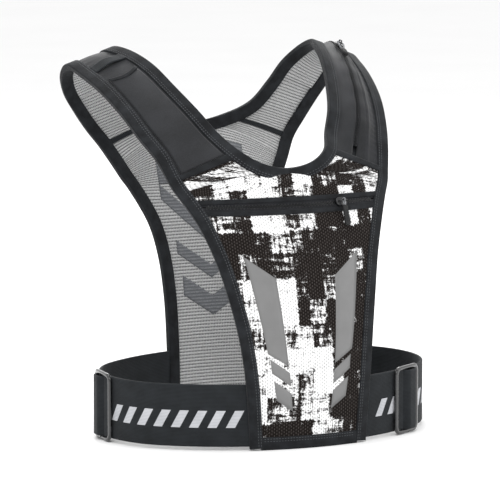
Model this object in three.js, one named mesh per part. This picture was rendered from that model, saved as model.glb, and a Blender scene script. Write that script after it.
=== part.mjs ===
// Safety harness vest: a pocketed front panel, two shoulder straps and a ribbed back panel,
// edged with folded binding and closed at the waist by two elastic belts with adjusters.
// Millimetres, +Z up. The wearer faces -Y, so +X is the wearer's left.
// The layers are sheets laid over one pattern surface. A height says how far a layer lies
// outside that surface (positive) or inside it (negative).
import * as THREE from 'three';

// ---- Driving dimensions ----

const BELT_HEIGHT = 55;
const BELT_HALF = 1.2;
const HEM_DROP = 2;
const BINDING_WIDTH = 10;
const BINDING_REACH = 1.4;
const BINDING_OUTSIDE = 2.4;
const BINDING_INSIDE = -3.8;
const CLEAR_OF_BINDING = BINDING_WIDTH + 2;
const CLEAR_OF_NECK_BINDING = BINDING_WIDTH + 4.5;

const FACE = [0, 1];
const LINING = [-2.4, -1.4];
const BACKING = [-1.1, -0.4];
const MESH = [-1.3, 0.9];
const PRINT = [1.3, 1.6];
const TAPE = [1.35, 2.2];

// Belt oval seen from above: four arcs that meet tangentially.
const FRONT_ARC = { x: 0, y: 85.5, radius: 190.5 };
const BACK_ARC = { x: 0, y: -85.5, radius: 190.5 };
const SIDE_ARC_X = 70;
const SIDE_RADIUS = 80;
const ARC_JOIN = THREE.MathUtils.degToRad(39.3);

const CHEST_ZIP_HEIGHT = 205.5;
const POCKET_TOP_HEIGHT = 199;
const YOKE_BOTTOM_HEIGHT = 212;
const CHEST_ZIP_HALF = 79;
const CHEST_SLIDER_X = 45;

// Stations of the pattern, from the front hem over the shoulder to the back hem.
// Each holds a point on the centre line or neck edge, then one on the armhole edge.
const STATIONS = [
  [[0, -105, -HEM_DROP], [54, -98, -HEM_DROP]],
  [[0, -106, 56], [58, -99, 56]],
  [[0, -102, 98], [63, -94, 98]],
  [[0, -96, 130], [69, -86, 130]],
  [[0, -88, 160], [76, -76, 160]],
  [[0, -76, 192], [87, -62, 192]],
  [[0, -68, 210], [96, -50, 210]],
  [[0, -58, 236], [100, -45, 217]],
  [[25, -55, 241], [102, -42, 221]],
  [[41, -46, 250.5], [104, -38, 226]],
  [[53, -23, 265], [111, -24, 247]],
  [[64, -6, 283], [119, -4, 264]],
  [[75, 22, 303], [126, 20, 283]],
  [[84, 52, 321], [132, 52, 300]],
  [[92, 84, 331], [137, 86, 312]],
  [[98, 108, 333], [140, 116, 318]],
  [[95, 128, 326], [137, 138, 306]],
  [[84, 140, 312], [130, 148, 290]],
  [[73, 147, 294], [121, 151, 276]],
  [[56, 150, 275], [108, 151, 257]],
  [[31, 152, 264], [96, 147, 241]],
  [[0, 153, 258], [86, 138, 223]],
  [[0, 146, 230], [80, 133, 212]],
  [[0, 137, 204], [75, 129, 204]],
  [[0, 126, 172], [59, 119, 172]],
  [[0, 118, 144], [52.5, 112, 144]],
  [[0, 112, 107], [49, 106, 107]],
  [[0, 107, 56], [48, 101, 56]],
  [[0, 105, -HEM_DROP], [48, 99, -HEM_DROP]],
];
const NECK_FRONT = 7;
const NECK_BACK = 21;
const LAST = STATIONS.length - 1;
const YOKE_SEAM = 9;
const SHOULDER_SEAM = 17.5;

// ---- Materials ----

function material(color, roughness, metalness = 0) {
  return new THREE.MeshStandardMaterial({ color, roughness, metalness });
}

const CAMO = material('#8b8a86', 0.9);
const BINDING = material('#2f3134', 0.85);
const STRAP_FABRIC = material('#4a4b4e', 0.8);
const LINING_FABRIC = material('#3a3c3f', 0.9);
const FOAM = material('#55575a', 0.95);
const MESH_FABRIC = material('#a4a4a4', 0.9);
const REFLECTIVE = material('#9c9c9c', 0.45);
const PRINT_INK = material('#5f6163', 0.7);
const ELASTIC = material('#3b3e42', 0.85);
const ZIP_FABRIC = material('#26282b', 0.85);
const MOULDED = material('#1d1f21', 0.35);
const CORD = material('#b4b5b6', 0.8);

// ---- Pattern surface ----

function vector([x, y, z]) {
  return new THREE.Vector3(x, y, z);
}

function mirrored(point) {
  return new THREE.Vector3(-point.x, point.y, point.z);
}

const innerPoints = STATIONS.map(([inner]) => vector(inner));
const outerPoints = STATIONS.map(([, outer]) => vector(outer));
const neckHalf = innerPoints.slice(NECK_FRONT, NECK_BACK + 1);
const neckOtherHalf = neckHalf.slice(1, -1).map(mirrored).reverse();
const neckLoop = new THREE.CatmullRomCurve3([...neckHalf, ...neckOtherHalf], true);
const frontCentre = new THREE.CatmullRomCurve3(innerPoints.slice(0, NECK_FRONT + 1));
const backCentre = new THREE.CatmullRomCurve3(innerPoints.slice(NECK_BACK));
const armholeEdge = new THREE.CatmullRomCurve3(outerPoints);

function innerEdge(row) {
  if (row <= NECK_FRONT) return frontCentre.getPoint(row / NECK_FRONT);
  if (row >= NECK_BACK) return backCentre.getPoint((row - NECK_BACK) / (LAST - NECK_BACK));
  return neckLoop.getPoint((row - NECK_FRONT) / (2 * (NECK_BACK - NECK_FRONT)));
}

// 1 where the panel wraps smoothly across the centre line, 0 where a strap is straight across.
function wrap(row) {
  const { smoothstep } = THREE.MathUtils;
  return 1 - smoothstep(row, 6, YOKE_SEAM) + smoothstep(row, 19, 22);
}

// Point at station `row`, a fraction `t` of the way from the centre line or neck edge to the
// armhole edge, on the wearer's left (side 1) or right (side -1).
function surfacePoint(row, t, side) {
  const inner = innerEdge(row);
  const outer = armholeEdge.getPoint(row / LAST);
  const bend = THREE.MathUtils.lerp(t, t * t, wrap(row));
  const point = new THREE.Vector3().lerpVectors(inner, outer, bend);
  point.x = side * THREE.MathUtils.lerp(inner.x, outer.x, t);
  return point;
}

function surfaceNormal(row, t, side) {
  const step = 0.01;
  const acrossStep = t < 0.5 ? step : -step;
  const rowA = Math.max(row - step, 0);
  const rowB = Math.min(row + step, LAST);
  const here = surfacePoint(row, t, side);
  const across = surfacePoint(row, t + acrossStep, side).sub(here).multiplyScalar(side * acrossStep);
  const along = surfacePoint(rowB, t, side).sub(surfacePoint(rowA, t, side));
  return across.cross(along).normalize();
}

function pointAt(row, t, side, height) {
  return surfacePoint(row, t, side).addScaledVector(surfaceNormal(row, t, side), height);
}

function acrossLength(row) {
  return innerEdge(row).distanceTo(armholeEdge.getPoint(row / LAST));
}

function fromInner(distance) {
  return (row) => distance / acrossLength(row);
}

function fromArmhole(distance) {
  return (row) => 1 - distance / acrossLength(row);
}

const neckSamples = neckLoop.getPoints(280);
const neckLimits = new Map();

function neckDistance(row, t) {
  const point = surfacePoint(row, t, 1);
  return Math.min(...neckSamples.map((sample) => sample.distanceTo(point)));
}

function bisect(low, high, isLow) {
  for (let i = 0; i < 30; i += 1) {
    const middle = (low + high) / 2;
    if (isLow(middle)) low = middle;
    else high = middle;
  }
  return low;
}

// Where the layers stop short of the neck binding and of the armhole binding.
function clearOfNeck(row) {
  if (!neckLimits.has(row)) {
    const isNear = (t) => neckDistance(row, t) < CLEAR_OF_NECK_BINDING;
    neckLimits.set(row, isNear(0) ? bisect(0, 0.9, isNear) : 0);
  }
  return neckLimits.get(row);
}

const clearOfArmhole = fromArmhole(CLEAR_OF_BINDING);
const neckClearFront = bisect(6, NECK_FRONT, (row) => neckDistance(row, 0) > CLEAR_OF_NECK_BINDING);
const neckClearBack = bisect(
  NECK_BACK, NECK_BACK + 1, (row) => neckDistance(row, 0) < CLEAR_OF_NECK_BINDING);

// Fraction u of the way across a strap, counted between its two bindings.
function betweenBindings(u) {
  return (row) => THREE.MathUtils.lerp(
    fromInner(CLEAR_OF_BINDING)(row), fromArmhole(CLEAR_OF_BINDING)(row), u);
}

function rowAtHeight(height) {
  return bisect(0, NECK_FRONT, (row) => innerEdge(row).z < height);
}

// ---- Solids ----

// A closed body from its points and triangles, turned the right way out.
function closedBody(points, triangles) {
  let volume = 0;
  for (const [a, b, c] of triangles) {
    volume += points[a].dot(new THREE.Vector3().crossVectors(points[b], points[c]));
  }
  const outward = volume > 0 ? triangles : triangles.map(([a, b, c]) => [a, c, b]);
  const geometry = new THREE.BufferGeometry().setFromPoints(points);
  geometry.setIndex(outward.flat());
  geometry.computeVertexNormals();
  return geometry;
}

// A sheet of fabric: cells over the surface, thickened between two heights.
// `place(node, height)` gives a point; `grids` are arrays of rows of nodes.
function thicken(grids, heights, place) {
  const nodes = [];
  const known = new Map();
  const triangles = [];
  const edges = new Map();
  const indexOf = (node) => {
    const key = place(node, 0).toArray().map((value) => value.toFixed(3)).join();
    if (!known.has(key)) {
      known.set(key, nodes.length);
      nodes.push(node);
    }
    return known.get(key);
  };
  const addTriangle = (a, b, c) => {
    if (a === b || b === c || c === a) return;
    triangles.push([a, b, c]);
    for (const [from, to] of [[a, b], [b, c], [c, a]]) {
      const opposite = `${to},${from}`;
      if (edges.has(opposite)) edges.delete(opposite);
      else edges.set(`${from},${to}`, [from, to]);
    }
  };
  for (const { rows, hole } of grids) {
    for (let i = 0; i + 1 < rows.length; i += 1) {
      for (let j = 0; j + 1 < rows[i].length; j += 1) {
        if (!hole || !hole(i, j)) {
          const corners = [rows[i][j], rows[i][j + 1], rows[i + 1][j + 1], rows[i + 1][j]];
          const [a, b, c, d] = corners.map(indexOf);
          addTriangle(a, b, c);
          addTriangle(a, c, d);
        }
      }
    }
  }
  const count = nodes.length;
  const pair = (node) => (typeof heights === 'function' ? heights(node) : heights);
  const points = [
    ...nodes.map((node) => place(node, pair(node)[1])),
    ...nodes.map((node) => place(node, pair(node)[0])),
  ];
  const all = [];
  for (const [a, b, c] of triangles) {
    all.push([a, b, c], [a + count, c + count, b + count]);
  }
  for (const [from, to] of edges.values()) {
    all.push([from + count, to + count, to], [from + count, to, from]);
  }
  return closedBody(points, all);
}

function onPattern({ row, t, side }, height) {
  return pointAt(row, t, side, height);
}

function rowsBetween(first, last, step = 0.5) {
  const rows = [first];
  for (let row = Math.ceil(first / step) * step; row < last; row += step) {
    if (row > first + 0.1 && row < last - 0.1) rows.push(row);
  }
  rows.push(last);
  return rows;
}

function valueAt(limit, row) {
  return typeof limit === 'function' ? limit(row) : limit;
}

// Grid of pattern nodes on one side, from the inner limit to the outer limit.
function sideGrid(rows, from, to, columns, side) {
  return {
    rows: rows.map((row) => {
      const line = [];
      for (let j = 0; j <= columns; j += 1) {
        const u = side > 0 ? j / columns : 1 - j / columns;
        line.push({ row, side, t: THREE.MathUtils.lerp(valueAt(from, row), valueAt(to, row), u) });
      }
      return line;
    }),
  };
}

// Grid of pattern nodes across the centre line.
function fullGrid(rows, to, columnsPerSide) {
  return {
    rows: rows.map((row) => {
      const line = [];
      for (let j = -columnsPerSide; j <= columnsPerSide; j += 1) {
        const t = valueAt(to, row) * Math.abs(j) / columnsPerSide;
        line.push({ row, side: j < 0 ? -1 : 1, t });
      }
      return line;
    }),
  };
}

function frontNode(x, height) {
  const row = rowAtHeight(height);
  return { row, side: x < 0 ? -1 : 1, t: Math.abs(x) / armholeEdge.getPoint(row / LAST).x };
}

function backNode(x, height) {
  const row = bisect(NECK_BACK, LAST, (value) => innerEdge(value).z > height);
  return { row, side: x < 0 ? -1 : 1, t: Math.abs(x) / armholeEdge.getPoint(row / LAST).x };
}

// Four-sided patch on the front or back panel from its corners as [x, height].
function cornerGrid(corners, rows, columns, nodeFor) {
  const [a, b, c, d] = corners;
  const mix = (p, q, u) => [THREE.MathUtils.lerp(p[0], q[0], u), THREE.MathUtils.lerp(p[1], q[1], u)];
  const lines = [];
  for (let i = 0; i <= rows; i += 1) {
    const left = mix(a, d, i / rows);
    const right = mix(b, c, i / rows);
    const line = [];
    for (let j = 0; j <= columns; j += 1) line.push(nodeFor(...mix(left, right, j / columns)));
    lines.push(line);
  }
  return { rows: lines };
}

// A bar of constant section along a run of stations with axes `out` and `up`.
function sweep(stations, section, closed) {
  const points = [];
  for (const { origin, out, up } of stations) {
    for (const [m, n] of section) {
      points.push(origin.clone().addScaledVector(out, m).addScaledVector(up, n));
    }
  }
  const size = section.length;
  const triangles = [];
  const spans = closed ? stations.length : stations.length - 1;
  for (let i = 0; i < spans; i += 1) {
    const a = i * size;
    const b = ((i + 1) % stations.length) * size;
    for (let j = 0; j < size; j += 1) {
      const k = (j + 1) % size;
      triangles.push([a + j, a + k, b + k], [a + j, b + k, b + j]);
    }
  }
  if (!closed) {
    const outline = section.map(([m, n]) => new THREE.Vector2(m, n));
    const last = (stations.length - 1) * size;
    const turned = THREE.ShapeUtils.isClockWise(outline);
    for (const [a, b, c] of THREE.ShapeUtils.triangulateShape(outline, [])) {
      triangles.push(turned ? [a, b, c] : [a, c, b]);
      triangles.push(turned ? [last + a, last + c, last + b] : [last + a, last + b, last + c]);
    }
  }
  return closedBody(points, triangles);
}

// Folded binding, solid with the seam allowances it encloses.
const BINDING_SECTION = [
  [-BINDING_WIDTH, BINDING_OUTSIDE],
  [-BINDING_WIDTH, BINDING_INSIDE],
  [BINDING_REACH, BINDING_INSIDE],
  [BINDING_REACH, BINDING_OUTSIDE],
];

function edgeStations(rows, t, side) {
  const inward = t > 0.5 ? -1 : 1;
  return rows.map((row, i) => {
    const before = rows[Math.max(i - 1, 0)];
    const after = rows[Math.min(i + 1, rows.length - 1)];
    const run = surfacePoint(after, t, side).sub(surfacePoint(before, t, side)).normalize();
    const up = surfaceNormal(row, t, side);
    const origin = surfacePoint(row, t, side);
    const inside = surfacePoint(row, t + inward * 0.05, side).sub(origin);
    const out = new THREE.Vector3().crossVectors(up, run).normalize();
    if (out.dot(inside) > 0) out.negate();
    return { origin, out, up: new THREE.Vector3().crossVectors(run, out).normalize(), normal: up };
  }).map((station) => {
    if (station.up.dot(station.normal) < 0) station.up.negate();
    return station;
  });
}

// ---- Assembly ----

const vest = new THREE.Group();
vest.position.set(0, 105, HEM_DROP + BINDING_REACH);

function part(name, geometry, finish, parent = vest) {
  const mesh = new THREE.Mesh(geometry, finish);
  mesh.name = name;
  parent.add(mesh);
  return mesh;
}

const SIDES = [['right', -1], ['left', 1]];
const PATTERN_COLUMNS = 4;

function sheetPart(name, grids, heights, finish) {
  return part(name, thicken(grids, heights, onPattern), finish);
}

// Front panel

const pocketTop = rowAtHeight(POCKET_TOP_HEIGHT);
const yokeBottom = rowAtHeight(YOKE_BOTTOM_HEIGHT);
const seamGap = 0.03;

const frontFirst = rowAtHeight(BINDING_WIDTH - HEM_DROP + 0.6);
const bodyTo = clearOfArmhole;

function yokeGrids(first, last) {
  const neckRows = rowsBetween(neckClearFront, last, 0.25);
  return [
    fullGrid(rowsBetween(first, neckClearFront), bodyTo, PATTERN_COLUMNS),
    sideGrid(neckRows, clearOfNeck, bodyTo, PATTERN_COLUMNS, 1),
    sideGrid(neckRows, clearOfNeck, bodyTo, PATTERN_COLUMNS, -1),
  ];
}

sheetPart('front_pocket_face', [fullGrid(rowsBetween(frontFirst, pocketTop), bodyTo, PATTERN_COLUMNS)],
  FACE, CAMO);
sheetPart('front_yoke_face', yokeGrids(yokeBottom, YOKE_SEAM - seamGap), FACE, CAMO);
sheetPart('front_lining', yokeGrids(frontFirst, YOKE_SEAM - seamGap), LINING, LINING_FABRIC);
sheetPart('front_pocket_bag', [fullGrid(rowsBetween(rowAtHeight(18), pocketTop), fromArmhole(13), 4)],
  BACKING, LINING_FABRIC);

// Chest zip

const CHEST_ZIP_TAPES = [
  ['chest_zip_tape_lower', pocketTop + 0.03, rowAtHeight(CHEST_ZIP_HEIGHT - 1.4)],
  ['chest_zip_tape_upper', rowAtHeight(CHEST_ZIP_HEIGHT + 1.4), yokeBottom - 0.02],
];
for (const [name, first, last] of CHEST_ZIP_TAPES) {
  sheetPart(name, [fullGrid([first, last], bodyTo, 8)], [-0.3, 0.5], ZIP_FABRIC);
}
const coilRows = [rowAtHeight(CHEST_ZIP_HEIGHT - 1.1), rowAtHeight(CHEST_ZIP_HEIGHT + 1.1)];
const chestZipEdge = (row) => CHEST_ZIP_HALF / armholeEdge.getPoint(row / LAST).x;
sheetPart('chest_zip_coil', [fullGrid(coilRows, chestZipEdge, 8)], [-0.5, 1.1], ZIP_FABRIC);

// Reflective bars on the pocket face, a long one and two short ones on each side.
const REFLECTIVE_BARS = [
  ['long', [[22, 70], [40, 81], [54, 164], [28, 145]], 5],
  ['middle', [[20.2, 52.2], [37, 64.3], [38.3, 76.5], [21, 64]], 1],
  ['short', [[18.2, 30], [32.9, 40.2], [35.4, 57.6], [19.7, 45.9]], 1],
];
for (const [sideName, side] of SIDES) {
  for (const [name, corners, rows] of REFLECTIVE_BARS) {
    const placed = corners.map(([x, height]) => [side * x, height]);
    const [a, b, c, d] = placed;
    const turned = side > 0 ? placed : [b, a, d, c];
    sheetPart(`reflective_bar_${name}_${sideName}`, [cornerGrid(turned, rows, 2, frontNode)],
      PRINT, REFLECTIVE);
  }
}

// Shoulder straps

const strapRows = rowsBetween(YOKE_SEAM + seamGap, SHOULDER_SEAM);
const INSIDE_BINDINGS = [betweenBindings(0), betweenBindings(1)];

// 0 at the bindings and the strap's ends, 1 along its middle.
function swell({ row, t }) {
  const first = betweenBindings(0)(row);
  const last = betweenBindings(1)(row);
  const u = THREE.MathUtils.clamp((t - first) / (last - first), 0, 1);
  const { smoothstep } = THREE.MathUtils;
  const ends = smoothstep(row, YOKE_SEAM, YOKE_SEAM + 1.5) * (1 - smoothstep(row, 16, SHOULDER_SEAM));
  return Math.sin(Math.PI * u) * ends;
}

const PAD_SWELL = 2.5;
const POCKET_SWELL = 5;
const PATCH_SWELL = 1.5;

function raised(heights, swelling) {
  return (node) => heights.map((height) => height + swelling * swell(node));
}

for (const [sideName, side] of SIDES) {
  sheetPart(`strap_lining_${sideName}`, [sideGrid(strapRows, ...INSIDE_BINDINGS, 4, side)],
    raised(LINING, -PAD_SWELL), LINING_FABRIC);
  const padHeights = (node) => [-1.1 - PAD_SWELL * swell(node), -0.3];
  sheetPart(`strap_pad_${sideName}`, [sideGrid(strapRows, ...INSIDE_BINDINGS, 4, side)],
    padHeights, FOAM);
}

// Wearer's right: a smooth face, a patch pocket with a curved lip and an elastic retaining loop.
const RIGHT = -1;
const LIP_ROW = 13.1;
const LIP_DIP = 0.35;

function lipRow(u) {
  return LIP_ROW - LIP_DIP * Math.sin(Math.PI * u);
}

function patchGrid(first, lastAt, rowCount, columns, from, to) {
  const rows = [];
  for (let i = 0; i <= rowCount; i += 1) {
    const line = [];
    for (let j = 0; j <= columns; j += 1) {
      const u = 1 - j / columns;
      const row = THREE.MathUtils.lerp(valueAt(first, u), lastAt(u), i / rowCount);
      line.push({ row, side: RIGHT, t: THREE.MathUtils.lerp(from(row), to(row), u) });
    }
    rows.push(line);
  }
  return { rows };
}

sheetPart('strap_face_right', [sideGrid(strapRows, ...INSIDE_BINDINGS, 4, RIGHT)], FACE, STRAP_FABRIC);
sheetPart('strap_patch_pocket_right',
  [patchGrid(YOKE_SEAM + 0.22, (u) => lipRow(u) - 0.12, 9, 4, ...INSIDE_BINDINGS)],
  raised([1.35, 2.3], PATCH_SWELL), STRAP_FABRIC);
sheetPart('strap_pocket_lip_right',
  [patchGrid((u) => lipRow(u) - 0.1, lipRow, 1, 4, ...INSIDE_BINDINGS)],
  raised([1.35, 3.1], PATCH_SWELL), BINDING);
sheetPart('strap_elastic_loop_right', [sideGrid([13.75, 14.1], ...INSIDE_BINDINGS, 4, RIGHT)],
  (node) => [1.5 + 2 * swell(node), 2.9 + 2 * swell(node)], ELASTIC);

// Wearer's left: a pleated stretch pocket closed by a zip along the strap.
const LEFT = 1;
const ZIP_FIRST_ROW = 9.7;
const ZIP_LAST_ROW = 16;
const pocketRows = rowsBetween(YOKE_SEAM + seamGap, SHOULDER_SEAM);
const zipRows = rowsBetween(ZIP_FIRST_ROW, ZIP_LAST_ROW);
const POCKET_PANELS = [
  ['strap_pocket_inner_panel_left', betweenBindings(0), betweenBindings(0.34), FACE, 3],
  ['strap_pocket_middle_panel_left', betweenBindings(0.5), betweenBindings(0.7), FACE, 1],
  ['strap_pocket_pleat_left', betweenBindings(0.72), betweenBindings(1), FACE, 3],
];
for (const [name, from, to, heights, columns] of POCKET_PANELS) {
  sheetPart(name, [sideGrid(pocketRows, from, to, columns, LEFT)],
    raised(heights, POCKET_SWELL), STRAP_FABRIC);
}
const SHOULDER_TAPES = [
  ['shoulder_zip_tape_inner', 0.36, 0.4],
  ['shoulder_zip_tape_outer', 0.44, 0.48],
];
for (const [name, first, last] of SHOULDER_TAPES) {
  sheetPart(name, [sideGrid(zipRows, betweenBindings(first), betweenBindings(last), 1, LEFT)],
    raised([-0.1, 0.6], POCKET_SWELL), ZIP_FABRIC);
}
sheetPart('shoulder_zip_coil', [sideGrid(zipRows, betweenBindings(0.405), betweenBindings(0.435), 1, LEFT)],
  raised([-0.2, 1.2], POCKET_SWELL), ZIP_FABRIC);

// Seam tapes over the joins of yoke and strap.
for (const [sideName, side] of SIDES) {
  const tapeGrid = sideGrid([8.86, YOKE_SEAM, 9.16], clearOfNeck, clearOfArmhole, 5, side);
  sheetPart(`yoke_seam_tape_${sideName}`, [tapeGrid],
    TAPE, BINDING);
}

// Back panel of ribbed mesh, with webbing tabs and printed chevrons.
const backFirst = SHOULDER_SEAM + seamGap;
const backLast = backNode(0, BINDING_WIDTH - HEM_DROP + 0.6).row;
const backNeckRows = rowsBetween(backFirst, neckClearBack, 0.25);
sheetPart('back_mesh_panel', [
  sideGrid(backNeckRows, clearOfNeck, bodyTo, PATTERN_COLUMNS, 1),
  sideGrid(backNeckRows, clearOfNeck, bodyTo, PATTERN_COLUMNS, -1),
  fullGrid(rowsBetween(neckClearBack, backLast), bodyTo, PATTERN_COLUMNS),
], MESH, MESH_FABRIC);
for (const [sideName, side] of SIDES) {
  sheetPart(`back_webbing_tab_${sideName}`,
    [sideGrid([19.95, 20.2], clearOfNeck, clearOfArmhole, 4, side)],
    TAPE, ELASTIC);
}

// Chevron: two arms that meet on the centre line. `tip` and `ends` are heights of the lower edge.
function chevron(name, halfWidth, tip, ends, depth) {
  const arm = (side) => {
    const corners = side > 0
      ? [[halfWidth, ends], [0, tip], [0, tip + depth], [halfWidth, ends + depth]]
      : [[0, tip], [-halfWidth, ends], [-halfWidth, ends + depth], [0, tip + depth]];
    return cornerGrid(corners, 2, 3, backNode);
  };
  sheetPart(name, [arm(1), arm(-1)], PRINT, PRINT_INK);
}

chevron('back_chevron_upper', 44, 150, 190, 14);
chevron('back_chevron_middle', 34, 118, 142, 12);
chevron('back_chevron_lower', 30, 84, 104, 18);

// ---- Bindings ----

const allRows = rowsBetween(0, LAST);
for (const [sideName, side] of SIDES) {
  part(`armhole_binding_${sideName}`, sweep(edgeStations(allRows, 1, side), BINDING_SECTION, false),
    BINDING);
}

function neckStations() {
  const rows = rowsBetween(NECK_FRONT, NECK_BACK);
  const stations = edgeStations(rows, 0, 1);
  for (const station of [stations[0], stations[stations.length - 1]]) {
    station.out.x = 0;
    station.out.normalize();
    station.up.x = 0;
    station.up.normalize();
  }
  const otherHalf = stations.slice(1, -1).reverse().map(({ origin, out, up }) => (
    { origin: mirrored(origin), out: mirrored(out), up: mirrored(up) }));
  return [...stations, ...otherHalf];
}

part('neck_binding', sweep(neckStations(), BINDING_SECTION, true), BINDING);

function hemStations(row) {
  const down = new THREE.Vector3(0, 0, -1);
  const stations = [];
  const steps = 5;
  const reach = clearOfArmhole(row);
  for (let j = -steps; j <= steps; j += 1) {
    const side = j < 0 ? -1 : 1;
    const t = reach * Math.abs(j) / steps;
    const up = surfaceNormal(row, t, side).setZ(0).normalize();
    stations.push({ origin: surfacePoint(row, t, side), out: down, up });
  }
  return stations;
}

part('front_hem_binding', sweep(hemStations(0), BINDING_SECTION, false), BINDING);
part('back_hem_binding', sweep(hemStations(LAST), BINDING_SECTION, false), BINDING);

// ---- Waist belts ----

// Point on the belt oval and its outward direction, by arc: angle is measured from -Y on the
// front arc, from +X on the side arc and from +Y on the back arc.
function beltNode(arc, angle, side) {
  const sine = Math.sin(angle);
  const cosine = Math.cos(angle);
  const parts = {
    front: [FRONT_ARC, sine, -cosine],
    back: [BACK_ARC, sine, cosine],
    side: [{ x: SIDE_ARC_X, y: 0, radius: SIDE_RADIUS }, cosine, sine],
  };
  const [centre, outX, outY] = parts[arc];
  const out = new THREE.Vector3(side * outX, outY, 0);
  const origin = new THREE.Vector3(
    side * (centre.x + centre.radius * outX), centre.y + centre.radius * outY, 0);
  return { origin, out, up: new THREE.Vector3(0, 0, 1) };
}

function arcRun(arc, first, last, steps, side) {
  const run = [];
  for (let i = 0; i <= steps; i += 1) {
    run.push(beltNode(arc, THREE.MathUtils.lerp(first, last, i / steps), side));
  }
  return run;
}

function band(inner, outer, bottom, top) {
  return [[inner, bottom], [outer, bottom], [outer, top], [inner, top]];
}

const beltFirst = Math.asin((56 + BINDING_REACH + 2.4) / FRONT_ARC.radius);
const beltLast = Math.asin((48 + BINDING_REACH + 1.6) / BACK_ARC.radius);
const sideSpread = Math.PI / 2 - ARC_JOIN;
const BELT_SECTION = band(-BELT_HALF, BELT_HALF, 0, BELT_HEIGHT);

for (const [sideName, side] of SIDES) {
  const run = [
    ...arcRun('front', beltFirst, ARC_JOIN, 6, side).slice(0, -1),
    ...arcRun('side', -sideSpread, sideSpread, 12, side),
    ...arcRun('back', ARC_JOIN, beltLast, 6, side).slice(1),
  ];
  part(`waist_belt_${sideName}`, sweep(run, BELT_SECTION, false), ELASTIC);
}

// Each adjuster slides along one arc of its belt.
const ADJUSTERS = {
  left: { side: 1, arc: 'front', angle: THREE.MathUtils.degToRad(33.6) },
  right: { side: -1, arc: 'side', angle: THREE.MathUtils.degToRad(3) },
};

// The doubled part of each belt, between the front panel and the adjuster.
const RETURN_SECTION = band(-BELT_HALF - 2.6, -BELT_HALF - 0.4, 0.5, BELT_HEIGHT - 0.5);
const rightReturn = [
  ...arcRun('front', beltFirst, ARC_JOIN, 6, -1).slice(0, -1),
  ...arcRun('side', -sideSpread, ADJUSTERS.right.angle, 9, -1),
];
part('belt_return_right', sweep(rightReturn, RETURN_SECTION, false), ELASTIC);
part('belt_return_left',
  sweep(arcRun('front', beltFirst, ADJUSTERS.left.angle, 4, 1), RETURN_SECTION, false), ELASTIC);

const FRAME_HALF_LENGTH = 19;
const FRAME_BAR = 5;
const CENTRE_BAR_HALF = 2.5;
const FRAME_RAIL = 2.6;
const SLOT_MARGIN = 0.3;
const FRAME_HEIGHTS = [BELT_HALF + 0.6, BELT_HALF + 3.6];

function adjusterRadius(arc) {
  return arc === 'side' ? SIDE_RADIUS : FRONT_ARC.radius;
}

function adjusterPlace({ arc, angle, side }) {
  const radius = adjusterRadius(arc);
  return ({ along, height }, lift) => {
    const node = beltNode(arc, angle + along / radius, side);
    return node.origin.addScaledVector(node.out, lift).setZ(height);
  };
}

function spread(first, last, steps) {
  return Array.from({ length: steps + 1 }, (_, i) => THREE.MathUtils.lerp(first, last, i / steps));
}

function frameGeometry(adjuster) {
  const slot = FRAME_HALF_LENGTH - FRAME_BAR;
  const alongs = [
    -FRAME_HALF_LENGTH, ...spread(-slot, -CENTRE_BAR_HALF, 2),
    ...spread(CENTRE_BAR_HALF, slot, 2), FRAME_HALF_LENGTH,
  ];
  const slotTop = BELT_HEIGHT + SLOT_MARGIN;
  const heights = [-SLOT_MARGIN - FRAME_RAIL, -SLOT_MARGIN, slotTop, slotTop + FRAME_RAIL];
  const ordered = adjuster.side > 0 ? alongs : alongs.slice().reverse();
  const rows = heights.map((height) => ordered.map((along) => ({ along, height })));
  const slotColumns = [1, 2, 4, 5];
  const hole = (i, j) => i === 1 && slotColumns.includes(j);
  return thicken([{ rows, hole }], FRAME_HEIGHTS, adjusterPlace(adjuster));
}

// Webbing that passes over the centre bar between the two slots.
function loopGeometry(adjuster) {
  const half = FRAME_HALF_LENGTH - FRAME_BAR - 0.7;
  const alongs = spread(-half, half, 10);
  const ordered = adjuster.side > 0 ? alongs : alongs.slice().reverse();
  const bottom = 0.4;
  const rows = [bottom, BELT_HEIGHT - bottom].map((height) => (
    ordered.map((along) => ({ along, height }))));
  const arch = ({ along }) => {
    const rise = Math.cos(Math.PI * along / (2 * half)) ** 0.7;
    const base = THREE.MathUtils.lerp(BELT_HALF + 0.5, FRAME_HEIGHTS[1] + 0.5, rise);
    return [base, base + 1.9];
  };
  return thicken([{ rows }], arch, adjusterPlace(adjuster));
}

// ---- Moving bodies ----

function hingeGroup(name, centre, axis) {
  const group = new THREE.Group();
  group.name = name;
  group.position.copy(centre);
  group.quaternion.setFromUnitVectors(new THREE.Vector3(0, 0, 1), axis);
  vest.add(group);
  return group;
}

function movingPart(name, geometry, finish, group, placement) {
  const mesh = part(name, geometry, finish);
  if (placement) mesh.applyMatrix4(placement);
  vest.updateMatrixWorld(true);
  group.attach(mesh);
  return mesh;
}

const UP = new THREE.Vector3(0, 0, 1);
for (const [sideName, adjuster] of Object.entries(ADJUSTERS)) {
  const centre = adjuster.arc === 'side'
    ? new THREE.Vector3(adjuster.side * SIDE_ARC_X, 0, 0)
    : new THREE.Vector3(FRONT_ARC.x, FRONT_ARC.y, 0);
  const slide = hingeGroup(`adjuster_slide_${sideName}`, centre, UP);
  movingPart(`adjuster_frame_${sideName}`, frameGeometry(adjuster), MOULDED, slide);
  movingPart(`adjuster_webbing_${sideName}`, loopGeometry(adjuster), ELASTIC, slide);
}

// Circle through three points: its centre and axis.
function circleThrough(a, b, c) {
  const ab = b.clone().sub(a);
  const ac = c.clone().sub(a);
  const axis = new THREE.Vector3().crossVectors(ab, ac);
  const scale = 1 / (2 * axis.lengthSq());
  const centre = a.clone()
    .addScaledVector(new THREE.Vector3().crossVectors(axis, ab), ac.lengthSq() * scale)
    .addScaledVector(new THREE.Vector3().crossVectors(ac, axis), ab.lengthSq() * scale);
  return { centre, axis: axis.normalize() };
}

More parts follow.
